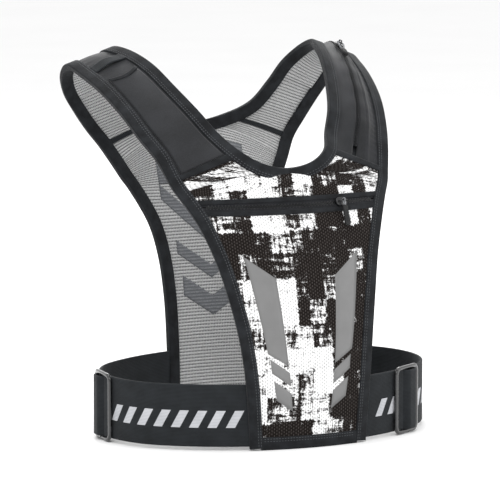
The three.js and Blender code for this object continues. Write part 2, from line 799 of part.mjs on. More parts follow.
// Frame on a circular zip track: x along the zip, z away from the vest.
function trackFrame(origin, track, outward) {
  const radial = origin.clone().sub(track.centre);
  radial.addScaledVector(track.axis, -radial.dot(track.axis)).normalize();
  const along = new THREE.Vector3().crossVectors(track.axis, radial).normalize();
  const away = outward.clone().addScaledVector(along, -outward.dot(along)).normalize();
  const across = new THREE.Vector3().crossVectors(away, along);
  return new THREE.Matrix4().makeBasis(along, across, away).setPosition(origin);
}

function roundedSlab(length, width, radius, thickness) {
  const shape = new THREE.Shape();
  const x = length / 2 - radius;
  const y = width / 2 - radius;
  shape.absarc(x, y, radius, 0, Math.PI / 2);
  shape.absarc(-x, y, radius, Math.PI / 2, Math.PI);
  shape.absarc(-x, -y, radius, Math.PI, 1.5 * Math.PI);
  shape.absarc(x, -y, radius, 1.5 * Math.PI, 2 * Math.PI);
  return new THREE.ExtrudeGeometry(shape, { depth: thickness, bevelEnabled: false, curveSegments: 3 });
}

// Zip slider seen from the side: a flat body with a bail that leaves a window over it.
const SLIDER_LENGTH = 11;
const SLIDER_BASE = 1.9;
const SLIDER_TOP = 4.2;
const BAIL_TOP = 8.4;
const BAIL_WIRE = 1.3;
const BAIL_HALF = 4;
const WINDOW_SILL = 4.4;
const BAIL_AXIS = 5.75;

function sliderGeometry(width) {
  const outline = new THREE.Shape([
    new THREE.Vector2(-SLIDER_LENGTH / 2, SLIDER_BASE),
    new THREE.Vector2(SLIDER_LENGTH / 2, SLIDER_BASE),
    new THREE.Vector2(SLIDER_LENGTH / 2, SLIDER_TOP - 0.6),
    new THREE.Vector2(BAIL_HALF + 0.6, SLIDER_TOP),
    new THREE.Vector2(BAIL_HALF, BAIL_TOP - 1.2),
    new THREE.Vector2(BAIL_HALF - 1.2, BAIL_TOP),
    new THREE.Vector2(1.2 - BAIL_HALF, BAIL_TOP),
    new THREE.Vector2(-BAIL_HALF, BAIL_TOP - 1.2),
    new THREE.Vector2(-BAIL_HALF - 0.6, SLIDER_TOP),
    new THREE.Vector2(-SLIDER_LENGTH / 2, SLIDER_TOP - 0.6),
  ]);
  const inside = BAIL_HALF - BAIL_WIRE;
  outline.holes.push(new THREE.Path([
    new THREE.Vector2(-inside, WINDOW_SILL),
    new THREE.Vector2(-inside, BAIL_TOP - BAIL_WIRE),
    new THREE.Vector2(inside, BAIL_TOP - BAIL_WIRE),
    new THREE.Vector2(inside, WINDOW_SILL),
  ]));
  const geometry = new THREE.ExtrudeGeometry(outline, { depth: width, bevelEnabled: false });
  geometry.rotateX(Math.PI / 2);
  geometry.translate(0, width / 2, 0);
  return geometry;
}

// Chest zip slider with a moulded puller threaded on its bail.
const coilPoint = (x) => {
  const { row, t, side } = frontNode(x, CHEST_ZIP_HEIGHT);
  return surfacePoint(row, t, side);
};
const chestCircle = circleThrough(
  coilPoint(-CHEST_ZIP_HALF), coilPoint(0), coilPoint(CHEST_ZIP_HALF));
const chestTrack = { centre: chestCircle.centre, axis: UP };
const chestNode = frontNode(CHEST_SLIDER_X, CHEST_ZIP_HEIGHT);
const chestOut = surfaceNormal(chestNode.row, chestNode.t, chestNode.side);
const chestFrame = trackFrame(coilPoint(CHEST_SLIDER_X), chestTrack, chestOut);
const chestSlide = hingeGroup('chest_zip_slide', chestTrack.centre, UP);
movingPart('chest_zip_slider', sliderGeometry(2.6), MOULDED, chestSlide, chestFrame);

const CHEST_PULLER_WIDTH = 4.6;
const CHEST_PULLER_LENGTH = 23;
const EYE_AXIS = BAIL_TOP - BAIL_WIRE / 2;

// Puller seen from the side: an eye round the bail's bar and a tapering grip below it.
function chestPullerGeometry() {
  const eye = 2.9;
  const outline = new THREE.Shape();
  outline.moveTo(-eye, 0);
  outline.absarc(0, 0, eye, Math.PI, 0, true);
  outline.lineTo(1.1, -3.4);
  outline.lineTo(1.1, -CHEST_PULLER_LENGTH + 1);
  outline.lineTo(0.4, -CHEST_PULLER_LENGTH);
  outline.lineTo(-0.9, -CHEST_PULLER_LENGTH);
  outline.lineTo(-1.5, -CHEST_PULLER_LENGTH + 1);
  outline.lineTo(-1.1, -3.4);
  outline.closePath();
  const hole = new THREE.Path();
  hole.absarc(0, 0, 1.9, 0, 2 * Math.PI, false);
  outline.holes.push(hole);
  const geometry = new THREE.ExtrudeGeometry(outline, {
    depth: CHEST_PULLER_WIDTH, bevelEnabled: false, curveSegments: 6 });
  geometry.translate(0, 0, -CHEST_PULLER_WIDTH / 2);
  const toFrame = new THREE.Matrix4().makeBasis(
    new THREE.Vector3(0, 0, 1), new THREE.Vector3(0, 1, 0), new THREE.Vector3(-1, 0, 0));
  return geometry.applyMatrix4(toFrame);
}

const chestEye = new THREE.Vector3(0, 0, EYE_AXIS).applyMatrix4(chestFrame);
const chestAlong = new THREE.Vector3().setFromMatrixColumn(chestFrame, 0);
const chestPull = hingeGroup('chest_puller_swing', chestEye, chestAlong);
const chestPullerFrame = chestFrame.clone()
  .multiply(new THREE.Matrix4().makeTranslation(0, 0, EYE_AXIS))
  .multiply(new THREE.Matrix4().makeRotationX(THREE.MathUtils.degToRad(7)));
movingPart('chest_zip_puller', chestPullerGeometry(), MOULDED, chestPull, chestPullerFrame);

// Shoulder zip slider with a cord puller that ends in a moulded grip.
const zipLine = (row) => {
  const node = { row, t: betweenBindings(0.42)(row), side: LEFT };
  return onPattern(node, POCKET_SWELL * swell(node));
};
const SHOULDER_SLIDER_ROW = 14.2;
const SHOULDER_PULL_TILT = THREE.MathUtils.degToRad(7);
const shoulderTrack = circleThrough(zipLine(10.6), zipLine(12.9), zipLine(15.2));
const shoulderPoint = zipLine(SHOULDER_SLIDER_ROW);
const shoulderOut = surfaceNormal(SHOULDER_SLIDER_ROW, betweenBindings(0.42)(SHOULDER_SLIDER_ROW), LEFT);
const shoulderFrame = trackFrame(shoulderPoint, shoulderTrack, shoulderOut);
const shoulderSlide = hingeGroup('shoulder_zip_slide', shoulderTrack.centre, shoulderTrack.axis);
movingPart('shoulder_zip_slider', sliderGeometry(2.4), MOULDED, shoulderSlide, shoulderFrame);

const CORD_RADIUS = 0.8;
const CORD_SPREAD = 3;
const GRIP_START = 15;
const GRIP_LENGTH = 12;

function cordLoopGeometry(sense) {
  const route = new THREE.CatmullRomCurve3([
    new THREE.Vector3(sense * GRIP_START, -1, -1.2),
    new THREE.Vector3(sense * 8, -CORD_SPREAD * 0.8, -0.6),
    new THREE.Vector3(sense * 1.5, -CORD_SPREAD, 0),
    new THREE.Vector3(0, -CORD_SPREAD * 0.6, 0),
    new THREE.Vector3(0, CORD_SPREAD * 0.6, 0),
    new THREE.Vector3(sense * 1.5, CORD_SPREAD, 0),
    new THREE.Vector3(sense * 8, CORD_SPREAD * 0.8, -0.6),
    new THREE.Vector3(sense * GRIP_START, 1, -1.2),
  ]);
  const section = new THREE.Shape();
  section.absarc(0, 0, CORD_RADIUS, 0, 2 * Math.PI);
  return new THREE.ExtrudeGeometry(section, { steps: 28, extrudePath: route, curveSegments: 4 });
}

function gripGeometry(sense) {
  const geometry = roundedSlab(GRIP_LENGTH, 5, 1.6, 3);
  geometry.translate(sense * (GRIP_START + 0.3 + GRIP_LENGTH / 2), 0, -2.7);
  return geometry;
}

// The puller lies along the zip towards the wearer's chest.
const CHESTWARD = shoulderTrack.axis.x > 0 ? 1 : -1;
const shoulderEye = new THREE.Vector3(0, 0, BAIL_AXIS).applyMatrix4(shoulderFrame);
const shoulderAcross = new THREE.Vector3().setFromMatrixColumn(shoulderFrame, 1);
const shoulderPull = hingeGroup('shoulder_puller_swing', shoulderEye, shoulderAcross);
const shoulderPullerFrame = shoulderFrame.clone()
  .multiply(new THREE.Matrix4().makeTranslation(0, 0, BAIL_AXIS))
  .multiply(new THREE.Matrix4().makeRotationY(-SHOULDER_PULL_TILT));
movingPart('shoulder_puller_cord', cordLoopGeometry(CHESTWARD), CORD, shoulderPull, shoulderPullerFrame);
movingPart('shoulder_puller_grip', gripGeometry(CHESTWARD), MOULDED, shoulderPull, shoulderPullerFrame);

export default vest;
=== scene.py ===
import math

import bpy
import numpy as np
from mathutils import Matrix, Vector


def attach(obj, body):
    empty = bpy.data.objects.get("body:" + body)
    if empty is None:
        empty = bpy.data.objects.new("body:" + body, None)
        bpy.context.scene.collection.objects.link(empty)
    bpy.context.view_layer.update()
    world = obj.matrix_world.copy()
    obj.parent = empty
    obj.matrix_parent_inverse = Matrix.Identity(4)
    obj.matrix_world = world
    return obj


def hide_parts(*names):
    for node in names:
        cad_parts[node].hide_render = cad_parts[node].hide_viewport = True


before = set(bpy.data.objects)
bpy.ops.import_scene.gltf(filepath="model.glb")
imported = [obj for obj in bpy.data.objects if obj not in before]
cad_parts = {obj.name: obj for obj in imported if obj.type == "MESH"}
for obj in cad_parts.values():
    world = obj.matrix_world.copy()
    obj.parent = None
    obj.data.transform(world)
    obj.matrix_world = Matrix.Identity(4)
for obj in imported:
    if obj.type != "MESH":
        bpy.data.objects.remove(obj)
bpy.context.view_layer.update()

# Safety harness vest. The layers lie over one pattern surface, worked out here in millimetres
# as in the CAD, and moved to the frame in metres when a mesh is made.
MM = 0.001
OFFSET = np.array([0.0, 105.0, 3.4])

HEM = -2.0
BELT_HEIGHT = 55.0
BINDING_WIDTH = 10.0
NECK_FRONT, NECK_BACK = 7, 21
YOKE_SEAM, SHOULDER_SEAM = 9.0, 17.5
CHEST_ZIP_HEIGHT, CHEST_ZIP_HALF, CHEST_SLIDER_X = 205.5, 79.0, 45.0

STATIONS = np.array([
    [[0, -105, HEM], [54, -98, HEM]],
    [[0, -106, 56], [58, -99, 56]],
    [[0, -102, 98], [63, -94, 98]],
    [[0, -96, 130], [69, -86, 130]],
    [[0, -88, 160], [76, -76, 160]],
    [[0, -76, 192], [87, -62, 192]],
    [[0, -68, 210], [96, -50, 210]],
    [[0, -58, 236], [100, -45, 217]],
    [[25, -55, 241], [102, -42, 221]],
    [[41, -46, 250.5], [104, -38, 226]],
    [[53, -23, 265], [111, -24, 247]],
    [[64, -6, 283], [119, -4, 264]],
    [[75, 22, 303], [126, 20, 283]],
    [[84, 52, 321], [132, 52, 300]],
    [[92, 84, 331], [137, 86, 312]],
    [[98, 108, 333], [140, 116, 318]],
    [[95, 128, 326], [137, 138, 306]],
    [[84, 140, 312], [130, 148, 290]],
    [[73, 147, 294], [121, 151, 276]],
    [[56, 150, 275], [108, 151, 257]],
    [[31, 152, 264], [96, 147, 241]],
    [[0, 153, 258], [86, 138, 223]],
    [[0, 146, 230], [80, 133, 212]],
    [[0, 137, 204], [75, 129, 204]],
    [[0, 126, 172], [59, 119, 172]],
    [[0, 118, 144], [52.5, 112, 144]],
    [[0, 112, 107], [49, 106, 107]],
    [[0, 107, 56], [48, 101, 56]],
    [[0, 105, HEM], [48, 99, HEM]],
], dtype=float)
LAST = len(STATIONS) - 1


# ---- Pattern surface ----

def spline(points, closed=False):
    """Centripetal Catmull-Rom curve, read at numbers counted in points."""
    count = len(points)
    before = 2 * points[0] - points[1]
    after = 2 * points[-1] - points[-2]

    def pick(index):
        if closed:
            return points[index % count]
        out = points[np.clip(index, 0, count - 1)].copy()
        out[index < 0] = before
        out[index >= count] = after
        return out

    def at(where):
        where = np.atleast_1d(np.asarray(where, float))
        index = np.clip(np.floor(where).astype(int), 0, count - 1 if closed else count - 2)
        p0, p1, p2, p3 = (pick(index + k) for k in (-1, 0, 1, 2))
        d0, d1, d2 = (np.sqrt(np.linalg.norm(b - a, axis=1))[:, None]
                      for a, b in ((p0, p1), (p1, p2), (p2, p3)))
        m1 = ((p1 - p0) / d0 - (p2 - p0) / (d0 + d1) + (p2 - p1) / d1) * d1
        m2 = ((p2 - p1) / d1 - (p3 - p1) / (d1 + d2) + (p3 - p2) / d2) * d1
        w = (where - index)[:, None]
        cubic = (2 * p1 - 2 * p2 + m1 + m2) * w ** 3
        return cubic + (-3 * p1 + 3 * p2 - 2 * m1 - m2) * w ** 2 + m1 * w + p1

    return at


INNER, OUTER = STATIONS[:, 0], STATIONS[:, 1]
NECK_HALF = INNER[NECK_FRONT:NECK_BACK + 1]
NECK_OTHER_HALF = (NECK_HALF[1:-1] * [-1, 1, 1])[::-1]
neck_loop = spline(np.vstack([NECK_HALF, NECK_OTHER_HALF]), closed=True)
front_centre = spline(INNER[:NECK_FRONT + 1])
back_centre = spline(INNER[NECK_BACK:])
armhole_edge = spline(OUTER)


def inner_edge(row):
    row = np.atleast_1d(np.asarray(row, float))
    out = neck_loop(np.clip(row, NECK_FRONT, NECK_BACK) - NECK_FRONT)
    front, back = row < NECK_FRONT, row > NECK_BACK
    if front.any():
        out[front] = front_centre(row[front])
    if back.any():
        out[back] = back_centre(row[back] - NECK_BACK)
    return out


def smoothstep(value, low, high):
    x = np.clip((np.asarray(value, float) - low) / (high - low), 0, 1)
    return x * x * (3 - 2 * x)


def unit(vectors):
    return vectors / np.linalg.norm(vectors, axis=1)[:, None]


def arc_length(points):
    """Distance along a run of points, from the first one."""
    return np.concatenate([[0], np.cumsum(np.linalg.norm(np.diff(points, axis=0), axis=1))])


def resampled(where, run, values):
    """Rows of values read at distances along a run."""
    return np.column_stack([np.interp(where, run, values[:, k]) for k in range(3)])


def grid_faces(rows, columns):
    """Quads of a grid of points that is listed row by row."""
    wide = columns + 1
    corners = (i * wide + j for i in range(rows) for j in range(columns))
    return [(k, k + 1, k + wide + 1, k + wide) for k in corners]


def surface(row, t, side):
    """Points at stations row, a fraction t of the way to the armhole edge, on side 1 or -1."""
    row, t, side = np.broadcast_arrays(*(np.atleast_1d(np.asarray(v, float)) for v in (row, t, side)))
    inner, outer = inner_edge(row), armhole_edge(row)
    wrap = 1 - smoothstep(row, 6, YOKE_SEAM) + smoothstep(row, 19, 22)
    bend = t * (1 - wrap) + t * t * wrap
    out = inner + (outer - inner) * bend[:, None]
    out[:, 0] = side * (inner[:, 0] + (outer[:, 0] - inner[:, 0]) * t)
    return out


def normals(row, t, side):
    row, t, side = np.broadcast_arrays(*(np.atleast_1d(np.asarray(v, float)) for v in (row, t, side)))
    step = 0.01
    across_step = np.where(t < 0.5, step, -step)
    across = (surface(row, t + across_step, side) - surface(row, t, side))
    across *= (side * across_step)[:, None]
    along = surface(np.minimum(row + 4 * step, LAST), t, side)
    along -= surface(np.maximum(row - 4 * step, 0), t, side)
    return unit(np.cross(across, along))


def raised(row, t, side, height):
    height = np.atleast_1d(np.asarray(height, float))
    return surface(row, t, side) + normals(row, t, side) * height[:, None]


def across_length(row):
    return np.linalg.norm(armhole_edge(row) - inner_edge(row), axis=1)


def from_inner(distance):
    return lambda row: distance / across_length(row)


def from_armhole(distance):
    return lambda row: 1 - distance / across_length(row)


def between(u, clear=12.0):
    """Fraction u of the way across a strap, counted between its two bindings."""
    def limit(row):
        low, high = from_inner(clear)(row), from_armhole(clear)(row)
        return low + (high - low) * u
    return limit


def row_at_height(height, first=0.0, last=float(NECK_FRONT)):
    rows = np.linspace(first, last, 4000)
    heights = inner_edge(rows)[:, 2]
    return float(rows[np.argmin(np.abs(heights - height))])


# ---- Node trees ----

class Shader:
    """Short forms for building a material's node tree."""

    def __init__(self, name, roughness=0.8, metallic=0.0, sheen=0.0, coat=0.0, specular=0.15):
        self.material = bpy.data.materials.new(name)
        self.material.use_nodes = True
        self.tree = self.material.node_tree
        self.bsdf = self.tree.nodes["Principled BSDF"]
        for socket, value in (("Roughness", roughness), ("Metallic", metallic), ("Sheen Weight", sheen),
                              ("Specular IOR Level", specular), ("Sheen Roughness", 0.4),
                              ("Coat Weight", coat), ("Coat Roughness", 0.12)):
            self.bsdf.inputs[socket].default_value = value

    def node(self, kind, **values):
        made = self.tree.nodes.new(kind)
        for key, value in values.items():
            if key in made.inputs:
                self.feed(made.inputs[key], value)
            else:
                setattr(made, key, value)
        return made

    def feed(self, socket, value):
        if isinstance(value, bpy.types.NodeSocket):
            self.tree.links.new(value, socket)
        else:
            socket.default_value = value

    def math(self, operation, a, b=0.0, c=0.0):
        made = self.node("ShaderNodeMath", operation=operation)
        for socket, value in zip(made.inputs, (a, b, c)):
            self.feed(socket, value)
        return made.outputs[0]

    def uv(self):
        """Distances across and along the cloth, in millimetres."""
        split = self.node("ShaderNodeSeparateXYZ")
        self.tree.links.new(self.node("ShaderNodeUVMap", uv_map="cloth_mm").outputs[0], split.inputs[0])
        return split.outputs[0], split.outputs[1]

    def combine(self, x, y, z=0.0):
        made = self.node("ShaderNodeCombineXYZ")
        for socket, value in zip(made.inputs, (x, y, z)):
            self.feed(socket, value)
        return made.outputs[0]

    def place(self, scale=(1, 1, 1)):
        """Position on the object, scaled from metres to millimetres."""
        coordinates = self.node("ShaderNodeTexCoord").outputs["Object"]
        mapping = self.node("ShaderNodeMapping")
        self.tree.links.new(coordinates, mapping.inputs["Vector"])
        mapping.inputs["Scale"].default_value = [1000 * s for s in scale]
        return mapping.outputs[0]

    def noise(self, vector, scale, detail=3.0, rough=0.55):
        made = self.node("ShaderNodeTexNoise", Vector=vector, Scale=scale, Detail=detail, Roughness=rough)
        return made.outputs["Fac"]

    def wave(self, value, pitch):
        """0 to 1 and back over each pitch."""
        turned = self.math("SINE", self.math("MULTIPLY", value, 2 * math.pi / pitch))
        return self.math("MULTIPLY_ADD", turned, 0.5, 0.5)

    def step(self, value, low, high):
        limits = {"From Min": low, "From Max": high}
        made = self.node("ShaderNodeMapRange", interpolation_type="SMOOTHSTEP", Value=value, **limits)
        return made.outputs[0]

    def mix(self, factor, a, b):
        made = self.node("ShaderNodeMix", data_type="RGBA")
        self.feed(made.inputs[0], factor)
        self.feed(made.inputs[6], a)
        self.feed(made.inputs[7], b)
        return made.outputs[2]

    def color(self, value):
        self.feed(self.bsdf.inputs["Base Color"], value)

    def roughness(self, value):
        self.feed(self.bsdf.inputs["Roughness"], value)

    def bump(self, height, distance, strength=1.0):
        made = self.node("ShaderNodeBump", Height=height, Distance=distance * MM, Strength=strength)
        previous = self.bsdf.inputs["Normal"]
        if previous.is_linked:
            self.tree.links.new(previous.links[0].from_socket, made.inputs["Normal"])
        self.tree.links.new(made.outputs[0], previous)


def rgb(code):
    """Linear colour from an sRGB hex code."""
    values = [int(code[i:i + 2], 16) / 255 for i in (1, 3, 5)]
    return [v / 12.92 if v <= 0.04045 else ((v + 0.055) / 1.055) ** 2.4 for v in values] + [1.0]


def perforated_camo():
    """Blocks of white and black laid on with a dry brush, on a knit with rows of upright slits."""
    s = Shader("perforated_camo", roughness=0.85, sheen=0.04, specular=0.1)
    u, v = s.uv()
    across, upright = (
        s.noise(s.combine(s.math("MULTIPLY", u, fine_u), s.math("MULTIPLY", v, fine_v), seed), 1.0, 9.0, 0.78)
        for fine_u, fine_v, seed in ((0.045, 0.26, 1.3), (0.26, 0.045, 8.1)))
    grain = s.noise(s.combine(u, v, 5.0), 0.5, 3.0, 0.8)
    worn_u = s.math("MULTIPLY_ADD", across, 13.0, s.math("ADD", u, 200.0))
    worn_v = s.math("MULTIPLY_ADD", upright, 13.0, v)

    def blocks(width, height, seed):
        cell = s.combine(s.math("FLOOR", s.math("DIVIDE", s.math("ADD", worn_u, seed * 7.0), width)),
                         s.math("FLOOR", s.math("DIVIDE", s.math("ADD", worn_v, seed * 5.0), height)), seed)
        return s.node("ShaderNodeTexWhiteNoise", noise_dimensions="3D", Vector=cell).outputs["Value"]

    mass = s.math("ADD", s.math("MULTIPLY", blocks(31.0, 42.0, 3.0), 0.50),
                  s.math("MULTIPLY", blocks(15.0, 21.0, 11.0), 0.40))
    brush = s.math("ADD", s.math("MULTIPLY", across, 1.0), s.math("MULTIPLY", upright, 1.0))
    total = s.math("ADD", s.math("ADD", mass, brush), s.math("MULTIPLY", grain, 0.35))
    paint = s.step(total, 1.62, 1.72)
    dark = s.mix(s.step(grain, 0.50, 0.80), rgb("#15110f"), rgb("#35302e"))
    light = s.mix(s.step(across, 0.30, 0.55), rgb("#cfcfd0"), rgb("#f4f4f4"))
    column = s.wave(u, 2.2)
    shifted = s.math("ADD", v, s.math("MULTIPLY", s.math("ROUND", s.math("DIVIDE", u, 2.2)), 1.5))
    slit = s.math("MULTIPLY", s.step(column, 0.60, 0.92), s.step(s.wave(shifted, 3.0), 0.35, 0.7))
    ground = s.mix(paint, rgb("#55504d"), rgb("#3b3837"))
    s.color(s.mix(s.math("MULTIPLY", slit, 0.62), s.mix(paint, dark, light), ground))
    s.bump(s.math("MULTIPLY", slit, -1.0), 0.35)
    s.bump(s.wave(v, 1.1), 0.06)
    return s.material


def knit(name, dark, light, roughness=0.8, sheen=0.25, pitch=0.9, depth=0.08):
    """Plain close knit with slow colour variation."""
    s = Shader(name, roughness=roughness, sheen=sheen)
    u, v = s.uv()
    slow = s.noise(s.place(), 0.03, 3.0)
    fine = s.noise(s.place(), 0.9, 2.0)
    tone = s.math("ADD", s.math("MULTIPLY", slow, 0.6), s.math("MULTIPLY", fine, 0.4))
    s.color(s.mix(s.step(tone, 0.35, 0.65), rgb(dark), rgb(light)))
    s.bump(s.math("MULTIPLY", s.wave(u, pitch), s.wave(v, pitch * 1.3)), depth)
    s.bump(fine, 0.05)
    return s.material


def ribbed_mesh():
    """Light ribs across the back, with painted shade in the dark slots between them."""
    s = Shader("ribbed_mesh", roughness=0.85, sheen=0.1)
    u, v = s.uv()
    rib = s.wave(v, 3.0)
    groove = s.step(rib, 0.42, 0.12)
    bridge = s.step(s.wave(u, 1.6), 0.15, 0.6)
    shaded_slot = s.math("MULTIPLY", groove, bridge)
    grain = s.noise(s.combine(u, v), 0.7, 3.0)
    light = s.mix(s.step(grain, 0.3, 0.7), rgb("#a3a4a4"), rgb("#c4c4c4"))
    # The slots take a dark grey that is painted shade inside the openings between the ribs.
    s.color(s.mix(shaded_slot, light, rgb("#4b4c4e")))
    s.bump(rib, 0.5)
    s.bump(s.math("MULTIPLY", shaded_slot, -1.0), 0.3)
    return s.material


def webbing(name, dark, light, pitch=1.3):
    """Woven elastic with fine ribs along its length and a herringbone of yarns."""
    s = Shader(name, roughness=0.78, sheen=0.08)
    u, v = s.uv()
    rib = s.wave(v, pitch)
    yarn = s.wave(s.math("ADD", u, s.math("MULTIPLY", v, 0.5)), 0.9)
    wear = s.noise(s.combine(u, v), 0.06, 4.0)
    # Colour is lighter on the rib crowns, a painted highlight in step with the rib bump, plus random wear
    # from the noise.
    rib_shading_and_wear = s.math("MULTIPLY_ADD", rib, 0.35, s.math("MULTIPLY", wear, 0.75))
    s.color(s.mix(s.step(rib_shading_and_wear, 0.3, 0.75), rgb(dark), rgb(light)))
    s.bump(rib, 0.16)
    s.bump(yarn, 0.06)
    return s.material


def binding_tape():
    """Folded stretch tape: fine ribs along the fold, a painted highlight on each rib's crown and light wear
    at random.
    """
    s = Shader("binding_tape", roughness=0.8, sheen=0.08)
    u, v = s.uv()
    rib = s.wave(v, 0.9)
    twill = s.wave(s.math("ADD", u, v), 1.1)
    wear = s.noise(s.combine(u, v), 0.08, 4.0)
    # Rib crowns are painted lighter, a painted highlight in step with the rib bump; the noise adds random
    # wear.
    s.color(s.mix(s.step(s.math("MULTIPLY_ADD", rib, 0.2, wear), 0.4, 0.8), rgb("#121315"), rgb("#232528")))
    s.bump(s.math("MULTIPLY", rib, twill), 0.1)
    return s.material


def moulded(name, dark, light, roughness, coat):
    """Moulded plastic with a faint texture and lighter worn patches."""
    s = Shader(name, roughness=roughness, coat=coat, specular=0.5)
    grain = s.noise(s.place(), 1.6, 3.0)
    wear = s.noise(s.place(), 0.12, 4.0)
    s.color(s.mix(s.step(wear, 0.45, 0.75), rgb(dark), rgb(light)))
    s.roughness(s.math("MULTIPLY_ADD", wear, 0.18, roughness - 0.08))
    s.bump(grain, 0.02)
    return s.material


def reflective_film():
    """Grey heat-transfer film, with fine beads and a soft sheen."""
    s = Shader("reflective_film", roughness=0.5, metallic=0.1, specular=0.3)
    u, v = s.uv()
    beads = s.noise(s.combine(u, v), 3.0, 1.0)
    slow = s.noise(s.combine(u, v), 0.05, 3.0)
    s.color(s.mix(s.step(slow, 0.3, 0.7), rgb("#727272"), rgb("#777777")))
    s.roughness(s.math("MULTIPLY_ADD", beads, 0.25, 0.3))
    s.bump(beads, 0.03)
    return s.material


def printed_ink(name, dark, light):
    """Ink that sits on a ribbed ground; the ribs show through in the bump and as painted light on their
    crowns and painted shade in the grooves.
    """
    s = Shader(name, roughness=0.7)
    u, v = s.uv()
    rib = s.wave(v, 3.0)
    grain = s.noise(s.combine(u, v), 0.8, 3.0)
    # Colour is lighter on the rib crowns and darker in the grooves: painted light and shade, broken up by
    # random grain.
    s.color(s.mix(s.math("MULTIPLY", rib, s.step(grain, 0.25, 0.7)), rgb(dark), rgb(light)))
    s.bump(rib, 0.4)
    return s.material


def thread():
    s = Shader("sewing_thread", roughness=0.6, sheen=0.2)
    s.color(s.mix(s.noise(s.place(), 1.2), rgb("#3a3c3f"), rgb("#5b5d60")))
    return s.material


CAMO = perforated_camo()
MESH = ribbed_mesh()
TAPE = binding_tape()
STRAP_KNIT = knit("strap_knit", "#1d1e20", "#27282b", roughness=0.55, sheen=0.12)
PLEAT_KNIT = knit("pleat_knit", "#17181a", "#232427", roughness=0.6, sheen=0.12, pitch=1.1)
LINING_KNIT = knit("lining_knit", "#232527", "#303235", roughness=0.9, sheen=0.08)
ELASTIC = webbing("elastic_webbing", "#191b1d", "#26292c")
ZIP_CLOTH = webbing("zip_cloth", "#17181a", "#2a2b2e", pitch=0.7)
TEETH = moulded("zip_teeth", "#121315", "#26282a", 0.35, 0.2)
PLASTIC = moulded("moulded_plastic", "#0f1011", "#2a2b2d", 0.22, 0.7)
RUBBER = moulded("puller_rubber", "#0b0c0d", "#1a1b1c", 0.7, 0.0)
FILM = reflective_film()
BACK_INK = printed_ink("back_ink", "#5f6164", "#85878b")
BELT_INK = webbing("belt_ink", "#a6a8ac", "#c0c1c5")
THREAD = thread()
CORD = knit("braided_cord", "#5a5c5f", "#9a9c9f", roughness=0.7, pitch=1.2, depth=0.2)


# ---- Pieces ----

def piece(name, points, faces, uvs, material, body="vest", replaces=(), thickness=0.0, smooth=True):
    """A mesh piece from points in millimetres, with the cloth's distances as its UVs."""
    mesh = bpy.data.meshes.new(name)
    place = (np.asarray(points, float) + OFFSET) * MM
    mesh.from_pydata(place.tolist(), [], faces)
    layer = mesh.uv_layers.new(name="cloth_mm")
    corner = np.empty(len(mesh.loops), dtype=np.int32)
    mesh.loops.foreach_get("vertex_index", corner)
    layer.data.foreach_set("uv", np.asarray(uvs, float)[corner].astype(np.float32).ravel())
    mesh.polygons.foreach_set("use_smooth", [smooth] * len(mesh.polygons))
    mesh.materials.append(material)
    made = bpy.data.objects.new(name, mesh)
    bpy.context.collection.objects.link(made)
    if thickness:
        solid = made.modifiers.new("thickness", "SOLIDIFY")
        solid.thickness = thickness * MM
        solid.offset = -1
    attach(made, body)
    if replaces:
        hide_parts(*replaces)
    return made


def swell(row, t):
    """0 at the bindings and the strap's ends, 1 along its middle."""
    first, last = between(0)(row), between(1)(row)
    u = np.clip((t - first) / (last - first), 0, 1)
    ends = smoothstep(row, YOKE_SEAM, YOKE_SEAM + 1.5) * (1 - smoothstep(row, 16, SHOULDER_SEAM))
    return np.sin(np.pi * u) * ends


def pucker(row, t, amount=0.25):
    """Small gathers where the cloth is sewn to its armhole binding."""
    distance = (1 - t) * across_length(row)
    return amount * np.sin(row * 27.0) * np.exp(-np.maximum(distance - 9, 0) / 7)


def sheet_patches(patches, height):
    """Points, faces and cloth distances of patches (rows, from, to, columns, side)."""
    points, faces, uvs, base = [], [], [], 0
    for rows, start, stop, columns, side in patches:
        rows = np.asarray(rows, float)
        low, high = (np.broadcast_to(limit(rows) if callable(limit) else limit, rows.shape)
                     for limit in (start, stop))
        if side == 0:
            share = np.linspace(-1, 1, 2 * columns + 1)
            t = high[:, None] * np.abs(share)[None, :]
            sides = np.broadcast_to(np.where(share < 0, -1.0, 1.0), t.shape)
        else:
            share = np.linspace(0, 1, columns + 1)
            share = share if side > 0 else share[::-1]
            t = low[:, None] + (high - low)[:, None] * share[None, :]
            sides = np.full(t.shape, float(side))
        row_grid = np.broadcast_to(rows[:, None], t.shape)
        r, tt, ss = row_grid.ravel(), t.ravel(), sides.ravel()
        lift = height(r, tt) if callable(height) else np.full(r.shape, float(height))
        place = raised(r, tt, ss, lift)
        spine = raised(rows, 0.5 * (low + high) if side else 0 * rows, side or 1.0, 0 * rows)
        along = arc_length(spine)
        along += float(rows[0]) * 33
        across = ss * tt * across_length(r)
        points.append(place)
        uvs.append(np.column_stack([across, np.repeat(along, t.shape[1])]))
        wide = t.shape[1]
        for i in range(t.shape[0] - 1):
            for j in range(wide - 1):
                a = base + i * wide + j
                faces.append((a, a + 1, a + wide + 1, a + wide))
        base += t.size
    return np.vstack(points), faces, np.vstack(uvs)


def steps(first, last, per_row=12):
    return np.linspace(first, last, max(int((last - first) * per_row), 2) + 1)


def cloth(name, patches, heights, material, **options):
    """A sheet between two heights; heights[0] is its thickness below the outer face."""
    thickness, height = heights
    points, faces, uvs = sheet_patches(patches, height)
    return piece(name, points, faces, uvs, material, thickness=thickness, **options)


def weld(obj, distance=0.05):
    """Joins the edges that neighbouring patches share, under the sheet's thickness."""
    join = obj.modifiers.new("join", "WELD")
    join.merge_threshold = distance * MM
    with bpy.context.temp_override(object=obj):
        bpy.ops.object.modifier_move_to_index(modifier="join", index=0)


